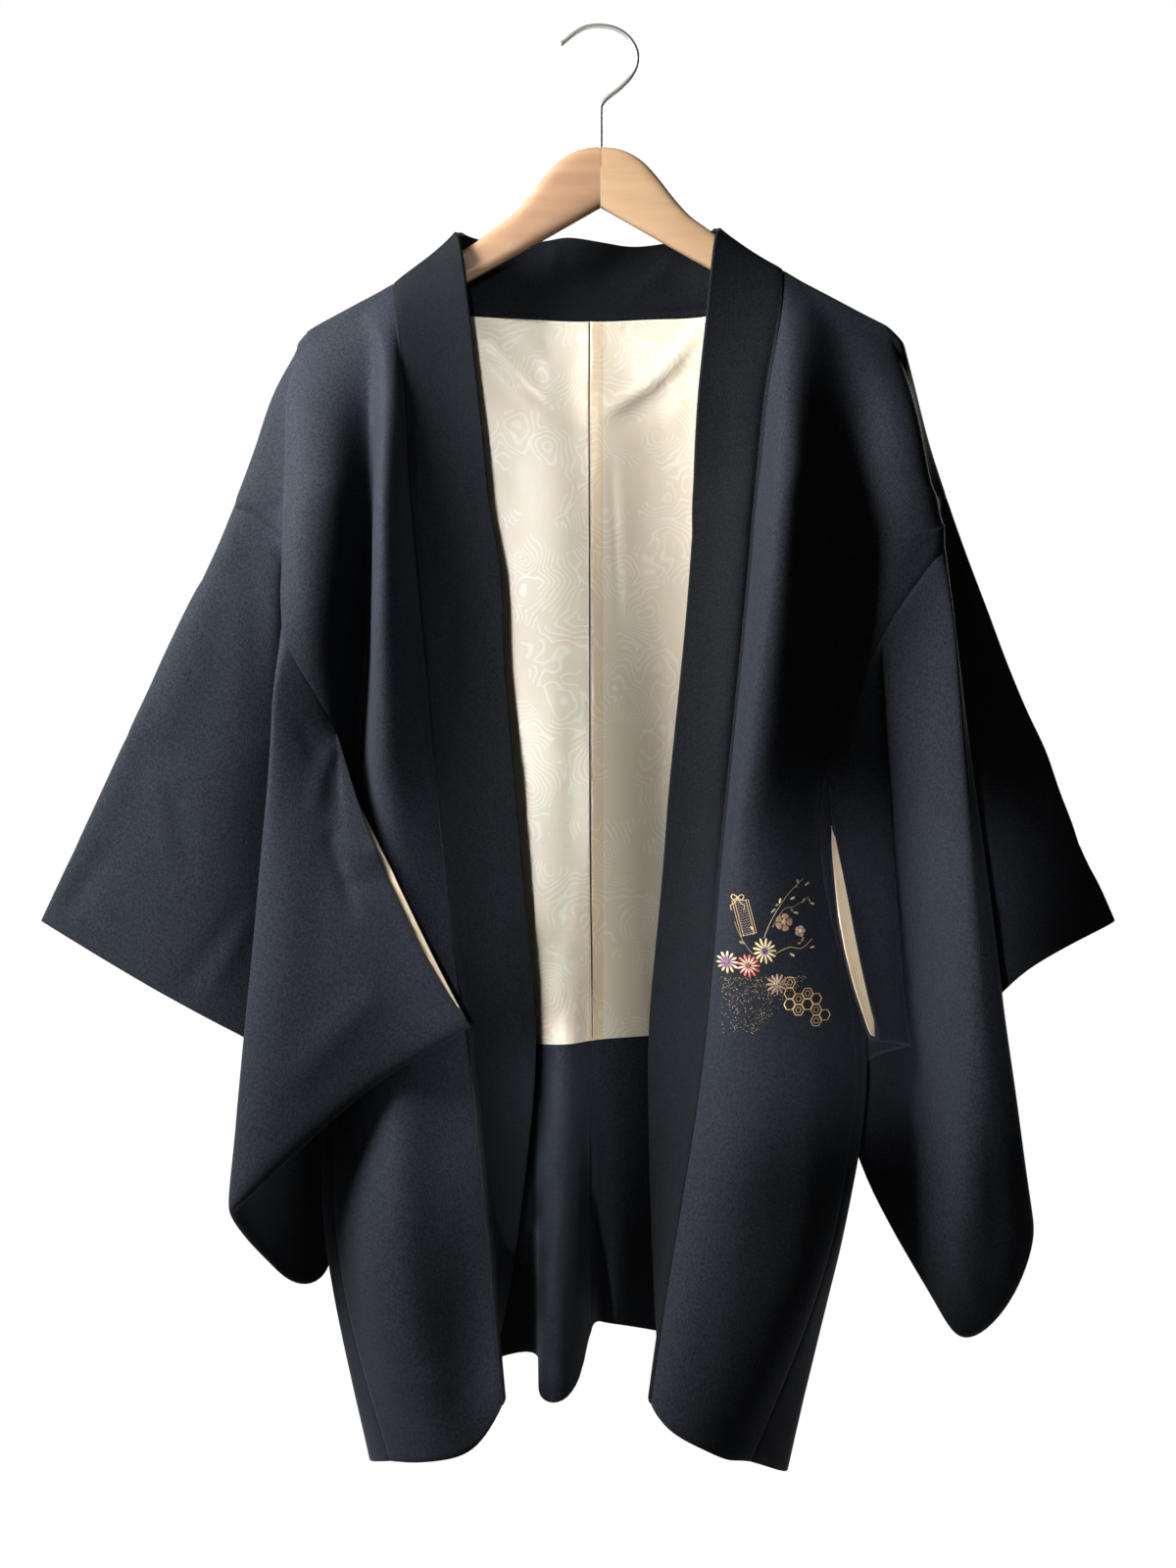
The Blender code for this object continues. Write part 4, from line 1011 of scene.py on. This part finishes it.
def crepeLook(name, colour, sheen):
    # dull dark silk with a fine grain and slightly uneven dye
    look, nodes, links, shader = newLook(name, colour, 0.7)
    shader.inputs["Specular IOR Level"].default_value = 0.06
    shader.inputs["Sheen Weight"].default_value = sheen
    shader.inputs["Sheen Roughness"].default_value = 0.45
    shader.inputs["Sheen Tint"].default_value = (0.7, 0.8, 1.0, 1)
    grain = noiseNode(nodes, links, 1400, 2.0, (1, 1, 0.5))
    addBump(nodes, links, shader, grain.outputs["Fac"], 0.25, 0.0004)
    slub = noiseNode(nodes, links, 800, 3.0, (1, 1, 0.7))
    shades = [(0.36, [value * 0.7 for value in colour]), (0.64, [value * 1.32 for value in colour])]
    links.new(addRamp(nodes, links, slub.outputs["Fac"], shades), shader.inputs["Base Color"])
    return look


def mathNode(nodes, links, operation, source, other):
    made = nodes.new("ShaderNodeMath")
    made.operation = operation
    links.new(source, made.inputs[0])
    if isinstance(other, (int, float)):
        made.inputs[1].default_value = other
    else:
        links.new(other, made.inputs[1])
    return made.outputs[0]


def liningLook():
    # cream silk with tone-on-tone clouds, and a warmer band where the seam's turnings lie
    look, nodes, links, shader = newLook("creamSilk", (0.86, 0.80, 0.67), 0.4)
    shader.inputs["Sheen Weight"].default_value = 0.1
    place = nodes.new("ShaderNodeTexCoord")
    drift = noiseNode(nodes, links, 22, 2.0)
    swirl = nodes.new("ShaderNodeVectorMath")
    swirl.operation = "MULTIPLY_ADD"
    links.new(drift.outputs["Color"], swirl.inputs[0])
    swirl.inputs[1].default_value = (0.034, 0.034, 0.034)
    links.new(place.outputs["Object"], swirl.inputs[2])
    clouds = nodes.new("ShaderNodeTexVoronoi")
    clouds.feature = "SMOOTH_F1"
    clouds.inputs["Scale"].default_value = 24
    clouds.inputs["Smoothness"].default_value = 0.2
    links.new(swirl.outputs["Vector"], clouds.inputs["Vector"])
    rings = mathNode(nodes, links, "MULTIPLY", clouds.outputs["Distance"], 88)
    lines = mathNode(nodes, links, "SINE", rings, 0)
    patches = noiseNode(nodes, links, 34, 1.0)
    shown = mathNode(nodes, links, "GREATER_THAN", patches.outputs["Fac"], 0.46)
    drawn = mathNode(nodes, links, "MULTIPLY", lines, shown)
    plain = addRamp(nodes, links, drawn, zip((0.35, 0.9), lookSettings["lining"]))
    strip = addRamp(nodes, links, drawn, zip((0.35, 0.85), lookSettings["liningStrip"]))
    apart = nodes.new("ShaderNodeSeparateXYZ")
    links.new(place.outputs["Object"], apart.inputs[0])
    seam = bodySettings["centreX"] * mm
    width = liningSettings["stripWidth"] * mm
    right = mathNode(nodes, links, "GREATER_THAN", apart.outputs["X"], seam - 0.0003)
    left = mathNode(nodes, links, "LESS_THAN", apart.outputs["X"], seam + width + 0.0002)
    band = mathNode(nodes, links, "MULTIPLY", right, left)
    tone = nodes.new("ShaderNodeMix")
    tone.data_type = "RGBA"
    links.new(band, tone.inputs["Factor"])
    links.new(plain, tone.inputs[6])
    links.new(strip, tone.inputs[7])
    links.new(tone.outputs[2], shader.inputs["Base Color"])
    addBump(nodes, links, shader, drawn, 0.15, 0.0002)
    return look


def woodLook(name, light, dark, turn):
    look, nodes, links, shader = newLook(name, light, 0.42)
    grain = noiseNode(nodes, links, 60, 4.0, (0.25, 1, 2.4), math.radians(turn))
    tone = addRamp(nodes, links, grain.outputs["Fac"], ((0.35, dark), (0.65, light)))
    links.new(tone, shader.inputs["Base Color"])
    return look


def threadLook(name, colour, metallic):
    look, nodes, links, shader = newLook(name, colour, 0.42, metallic)
    strands = noiseNode(nodes, links, 2600, 1.0, (1, 1, 0.25))
    addBump(nodes, links, shader, strands.outputs["Fac"], 0.5, 0.0003)
    return look


def makeLooks():
    s = lookSettings
    looks = {
        "cloth": crepeLook("darkCrepe", s["cloth"], s["clothSheen"]),
        # the same silk as the cloth, its colour darkened as painted shade
        "collar": crepeLook("collarCrepeDarkenedAsShade", s["collar"], s["collarSheen"]),
        "lining": liningLook(),
        "sleeveLining": newLook("peachSilk", s["sleeveLining"], 0.4)[0],
        "rightWood": woodLook("pinkBeech", *s["rightWood"], -30),
        "leftWood": woodLook("paleBeech", *s["leftWood"], 50),
        "steel": newLook("satinNickel", s["steel"], 0.36, 0.85)[0],
    }
    for name, colour in threadColours.items():
        looks[name] = threadLook(name + "Thread", colour, 0.35 if name == "gold" else 0.0)
    return looks


# Silk and gold embroidery on the wearer's left front. Places are x and z on the cloth.
embroiderySettings = {
    "petalHeight": 0.5,
    "threadWidth": 0.42,
    "edgeWidth": 0.34,
    "fillWidth": 0.28,
    "cordWidth": 0.5,
    # x, z, radius, number of petals, their thread and the thread of the heart
    "blooms": ((87, -674, 7.6, 12, ("straw", "violet"), "dove"),
               (101, -676, 8.2, 13, ("coral", "cream"), "coral"),
               (112.5, -666, 8.8, 13, ("straw", "cream"), "violet"),
               (121, -689, 7.8, 12, ("plum", "dove"), "straw"),
               (126, -646.5, 6.4, 5, ("plum", "plum"), "straw"),
               (138, -653, 4.0, 5, ("dove", "dove"), "gold")),
    # where each sprig starts, bends and ends, and its thread
    "sprigs": (((112, -657), (118, -644), (129, -628), (141, -617), "leaf"),
               ((118, -650), (126, -638), (134, -636), (145, -630), "leaf"),
               ((120, -668), (130, -664), (139, -665), (147, -659), "gold"),
               ((104, -668), (98, -660), (94, -652), (92, -646), "leaf")),
    "leaves": ((117, -640, 40), (123, -634, 75), (131, -631, 20), (137, -621, 95), (142, -622, 30),
               (133, -640, -10), (140, -634, 60), (146, -634, -20), (130, -668, -30),
               (139, -661, 70), (145, -665, 10), (105, -652, 130), (99, -661, 160)),
    # a tilted woven band with a tied cord: its middle, half width, half length and lean
    "band": {"x": 98.5, "z": -642.5, "halfWidth": 5.4, "halfLength": 12.5, "lean": 14},
    # tortoiseshell: rows of six-sided cells running down to the right
    "cells": {"x": 130, "z": -688, "radius": 4.3, "along": 5, "across": 3, "lean": -32,
              "missing": ((0, 2), (4, 0), (1, 0), (3, 2)),
              # each ring's share of the cell and the width of its thread; every other cell has two
              "rings": ((0.93, 0.42), (0.45, 0.3))},
    "dust": {"x": (83, 142), "z": (-722, -684), "grains": 640, "size": 0.19},
}


class Stitching:
    # gathers raised thread shapes by colour and lays them on a piece of cloth
    def __init__(self, piece):
        self.tree = BVHTree.FromPolygons([v.co for v in piece.data.vertices],
                                         [p.vertices for p in piece.data.polygons])
        self.threads = {}

    def onCloth(self, x, z, lift):
        place, normal = self.tree.ray_cast(Vector((x * mm, -1, z * mm)), Vector((0, 1, 0)))[:2]
        if place is None:
            return None
        return place + normal * lift * mm

    def add(self, thread, points, faces):
        if any(point is None for point in points):
            return
        allPoints, allFaces = self.threads.setdefault(thread, ([], []))
        start = len(allPoints)
        allPoints.extend(points)
        allFaces.extend([[start + i for i in face] for face in faces])

    def patch(self, thread, outline, height):
        # a domed patch of satin stitch inside an outline
        middleX = sum(x for x, _ in outline) / len(outline)
        middleZ = sum(z for _, z in outline) / len(outline)
        count = len(outline)
        points = []
        for scale, lift in ((1.0, -0.15), (0.88, height * 0.7), (0.5, height)):
            points += [self.onCloth(middleX + (x - middleX) * scale, middleZ + (z - middleZ) * scale,
                                    lift) for x, z in outline]
        points.append(self.onCloth(middleX, middleZ, height * 1.1))
        faces = []
        for i in range(count):
            j = (i + 1) % count
            faces += [[i, j, j + count, i + count],
                      [i + count, j + count, j + 2 * count, i + 2 * count],
                      [i + 2 * count, j + 2 * count, 3 * count]]
        self.add(thread, points, faces)

    def line(self, thread, route, width):
        # one couched thread along a route
        points = []
        for i, (x, z) in enumerate(route):
            before, after = route[max(i - 1, 0)], route[min(i + 1, len(route) - 1)]
            run = Vector((after[0] - before[0], after[1] - before[1]))
            run.normalize()
            for aside, lift in ((-1, -0.1), (-0.7, 0.75), (0, 1.05), (0.7, 0.75), (1, -0.1)):
                points.append(self.onCloth(x - run.y * aside * width / 2, z + run.x * aside * width / 2,
                                           lift * width * 0.8))
        faces = []
        for i in range(len(route) - 1):
            for k in range(4):
                a = i * 5 + k
                faces.append([a, a + 5, a + 6, a + 1])
        self.add(thread, points, faces)

    def straight(self, thread, start, end, pieces, width):
        run = [Vector(start).lerp(Vector(end), k / pieces) for k in range(pieces + 1)]
        self.line(thread, [(place.x, place.y) for place in run], width)

    def finish(self, looks):
        for thread, (points, faces) in self.threads.items():
            made = meshFrom("embroidery_" + thread, points, faces)
            made.data.materials.append(looks[thread])


def petalOutline(x, z, turn, near, far, width, count=9):
    # a petal from near to far out from a middle, rounded at its tip
    outline = []
    for k in range(count):
        angle = 2 * math.pi * k / count
        out = near + (far - near) * (0.5 - 0.5 * math.cos(angle))
        share = (out - near) / (far - near)
        aside = width / 2 * math.sin(angle) * (0.55 + 0.45 * share)
        outline.append((x + out * math.cos(turn) + aside * math.sin(turn),
                        z + out * math.sin(turn) - aside * math.cos(turn)))
    return outline[::-1]


def sewBlooms(sewing):
    e = embroiderySettings
    for x, z, radius, petals, threads, heart in e["blooms"]:
        isPlum = petals == 5
        for layer, (near, far) in enumerate(((0.28, 1.0), (0.2, 0.68))):
            if isPlum and layer:
                continue
            for k in range(petals):
                turn = 2 * math.pi * (k + 0.5 * layer) / petals + 0.2 * layer
                width = 2 * math.pi * radius * far / petals * (0.86 if isPlum else 0.52)
                uneven = 1 + 0.07 * math.sin(5.3 * k + x)
                outline = petalOutline(x, z, turn, radius * near, radius * far * uneven, width,
                                       12 if isPlum else 8)
                sewing.patch(threads[layer], outline, e["petalHeight"] * (1 + 0.5 * layer))
        for k in range(12):
            turn, out = 2.4 * k, radius * 0.085 * math.sqrt(k)
            knot = petalOutline(x + out * math.cos(turn), z + out * math.sin(turn), turn, -0.5, 0.5,
                                1.0, 6)
            sewing.patch(heart, knot, e["petalHeight"] * 1.9)


def sewSprigs(sewing):
    e = embroiderySettings
    for *points, thread in e["sprigs"]:
        sewing.line(thread, curveRoute(points), e["threadWidth"])
    for i, (x, z, turn) in enumerate(e["leaves"]):
        turn = math.radians(turn)
        thread = ("leaf", "gold", "straw")[i % 3]
        sewing.patch(thread, petalOutline(x, z, turn, 0, 4.6 - 0.3 * (i % 4), 2.0, 8),
                     e["petalHeight"] * 0.8)
        if i % 2:
            sewing.patch("plum", petalOutline(x, z, turn + 2.2, 0.5, 2.9, 1.9, 8), e["petalHeight"])


def sewBand(sewing):
    e = embroiderySettings
    b = e["band"]
    lean = math.radians(b["lean"])
    across, up = Vector((math.cos(lean), math.sin(lean))), Vector((-math.sin(lean), math.cos(lean)))
    middle = Vector((b["x"], b["z"]))

    def spot(aside, rise):
        place = middle + across * aside * b["halfWidth"] + up * rise * b["halfLength"]
        return (place.x, place.y)

    for start, end in (((-1, -1), (-1, 1)), ((1, -1), (1, 0.86)), ((-1, 1), (1, 0.86)),
                       ((-1, -1), (1, -1)), ((-0.72, -1), (-0.72, 0.95)), ((0.72, -1), (0.72, 0.88))):
        sewing.straight("gold", spot(*start), spot(*end), 6, e["edgeWidth"])
    for k in range(13):
        rise = -0.9 + 1.72 * k / 12
        wave = [spot(-0.7 + 1.4 * i / 6, rise + (0.045 if i % 2 else -0.045)) for i in range(7)]
        sewing.line("dove", wave, e["fillWidth"])
    knot = spot(-0.25, 1.08)
    turns = [math.pi * k / 12 for k in range(13)]
    for side in (-1, 1):
        loop = [(knot[0] + side * 4.2 * math.sin(t) * (1 if t < 1.6 else 0.9),
                 knot[1] + 3.6 * math.sin(t) * math.cos(t) + 0.6) for t in turns]
        sewing.line("gold", loop, e["cordWidth"])
        tail = curveRoute((knot, (knot[0] + side * 2.2, knot[1] - 3.5), (knot[0] + side * 4.5, knot[1] - 5),
                           (knot[0] + side * 4.2, knot[1] - 8.5)))
        sewing.line("gold", tail, e["threadWidth"])
    sewing.patch("gold", petalOutline(knot[0], knot[1], 0.4, -1.1, 1.1, 2.0, 8), 0.9)


def sewCells(sewing):
    c = embroiderySettings["cells"]
    lean = math.radians(c["lean"])
    for i in range(c["along"]):
        for j in range(c["across"]):
            if (i, j) in c["missing"]:
                continue
            out, down = c["radius"] * 1.74 * (i + 0.5 * (j % 2)), c["radius"] * 1.5 * j
            x = c["x"] + out * math.cos(lean) + down * math.sin(lean)
            z = c["z"] + out * math.sin(lean) - down * math.cos(lean)
            for scale, width in c["rings"][:1 if (i + j) % 2 else 2]:
                corners = []
                for k in range(7):
                    turn = math.radians(60 * k + 30) + lean
                    corners.append((x + c["radius"] * scale * math.cos(turn),
                                    z + c["radius"] * scale * math.sin(turn)))
                for start, end in zip(corners, corners[1:]):
                    sewing.straight("gold", start, end, 2, width)


def sewDust(sewing):
    # a scatter of short gold stitches, thinner towards its lower right; the same one every time
    d = embroiderySettings["dust"]
    for k in range(d["grains"]):
        across = (math.sin(12.9898 * k + 1) * 43758.5453) % 1
        down = (math.sin(78.233 * k + 2) * 24634.6345) % 1
        if across > 1.1 - 0.7 * down:
            continue
        x = d["x"][0] + (d["x"][1] - d["x"][0]) * across
        z = d["z"][1] + (d["z"][0] - d["z"][1]) * down ** 1.3
        size = d["size"] * (0.7 + 0.6 * ((k * 0.381966) % 1))
        grain = petalOutline(x, z, 0.7 * k, -size, size, 2.6 * size, 5)
        sewing.patch("gold" if k % 4 else "straw", grain, 0.28)


def addEmbroidery(piece, looks):
    sewing = Stitching(piece)
    sewBlooms(sewing)
    sewSprigs(sewing)
    sewBand(sewing)
    sewCells(sewing)
    sewDust(sewing)
    sewing.finish(looks)


floorSettings = {"half": 2.8, "height": -2.2, "glow": 0.5}


def addStage():
    # a plain pale floor; its glow shows on it and lights nothing else
    s = floorSettings
    paper, _, _, shader = newLook("paper", (0.9, 0.9, 0.9), 0.9)
    shader.inputs["Emission Color"].default_value = (1, 0.97, 0.93, 1)
    shader.inputs["Emission Strength"].default_value = s["glow"]
    corners = [(x * s["half"], y * s["half"], s["height"]) for x, y in ((-1, -1), (1, -1), (1, 1), (-1, 1))]
    floor = meshFrom("floor", corners, [[0, 1, 2, 3]], False)
    floor.data.materials.append(paper)
    floor.visible_diffuse = False


lightSettings = {
    "key": {"place": (-0.92, -0.44, 0.16), "aim": (-0.1, 0, -0.6), "size": 0.5, "power": 50},
    "front": {"place": (-0.7, -2.8, -0.4), "aim": (0, 0, -0.6), "size": 1.6, "power": 3.4,
              "colour": (1, 0.88, 0.74)},
    "opening": {"place": (-0.15, -1.8, -0.5), "aim": (-0.06, 0, -0.51), "size": 0.05,
                "tall": 0.64, "power": 0.215, "spread": 7, "colour": (0.96, 0.98, 1)},
    "backHem": {"place": (-0.4, -1.8, -0.86), "aim": (-0.037, 0, -0.86), "size": 0.03,
                "tall": 0.24, "power": 0.05, "spread": 2},
    "sleeveSlit": {"place": (-0.2, -1.8, -0.68), "aim": (0.19, 0, -0.68), "size": 0.2,
                   "power": 0.1, "spread": 4},
    "rearLeft": {"place": (1.5, 2.4, 0.3), "aim": (0, 0, -0.6), "size": 1.4, "power": 48},
    "rearRight": {"place": (-1.5, 2.4, 0.3), "aim": (0, 0, -0.6), "size": 1.4, "power": 48},
}
worldSettings = {"light": 0.022, "colour": (1, 0.88, 0.74)}


def addLights():
    for name, values in lightSettings.items():
        lamp = bpy.data.lights.new(name, "AREA")
        lamp.shape = "RECTANGLE"
        lamp.size = values["size"]
        lamp.size_y = values.get("tall", values["size"])
        lamp.color = values.get("colour", (1, 1, 1))
        lamp.energy = values["power"]
        lamp.spread = math.radians(values.get("spread", 180))
        made = bpy.data.objects.new(name, lamp)
        made.location = values["place"]
        aim = Vector(values["aim"]) - Vector(values["place"])
        made.rotation_euler = aim.to_track_quat("-Z", "Y").to_euler()
        made.visible_camera = False
        bpy.context.scene.collection.objects.link(made)
    world = bpy.data.worlds.new("studio")
    world.use_nodes = True
    nodes, links = world.node_tree.nodes, world.node_tree.links
    nodes["Background"].inputs["Color"].default_value = (*worldSettings["colour"], 1)
    nodes["Background"].inputs["Strength"].default_value = worldSettings["light"]
    paper = nodes.new("ShaderNodeBackground")       # the white paper behind, seen but lighting nothing
    paper.inputs["Color"].default_value = (1, 1, 1, 1)
    seen, mix = nodes.new("ShaderNodeLightPath"), nodes.new("ShaderNodeMixShader")
    links.new(seen.outputs["Is Camera Ray"], mix.inputs["Fac"])
    links.new(nodes["Background"].outputs[0], mix.inputs[1])
    links.new(paper.outputs[0], mix.inputs[2])
    links.new(mix.outputs[0], nodes["World Output"].inputs["Surface"])
    bpy.context.scene.world = world


cameraSettings = {"place": (-0.0093, -1.6, -0.551), "lens": 50.4}


def addCamera():
    lens = bpy.data.cameras.new("camera")
    lens.lens = cameraSettings["lens"]
    made = bpy.data.objects.new("camera", lens)
    made.location = cameraSettings["place"]
    made.rotation_euler = (math.radians(90), 0, 0)
    bpy.context.scene.collection.objects.link(made)
    bpy.context.scene.camera = made


print("surface")
cloth = setCloth()
looks = makeLooks()
print("pieces")
pieces = cutPieces(cloth, looks)
linings = addLinings(cloth, looks)
print("embroidery")
addEmbroidery(pieces["front_left"], looks)
print("hanger")
addArm(-1, "hanger_right_arm_wood", looks["rightWood"])
addArm(1, "hanger_left_arm_wood", looks["leftWood"])
addHook(looks["steel"])
print("studio")
addStage()
addLights()
addCamera()
bpy.context.scene.view_settings.view_transform = "Standard"
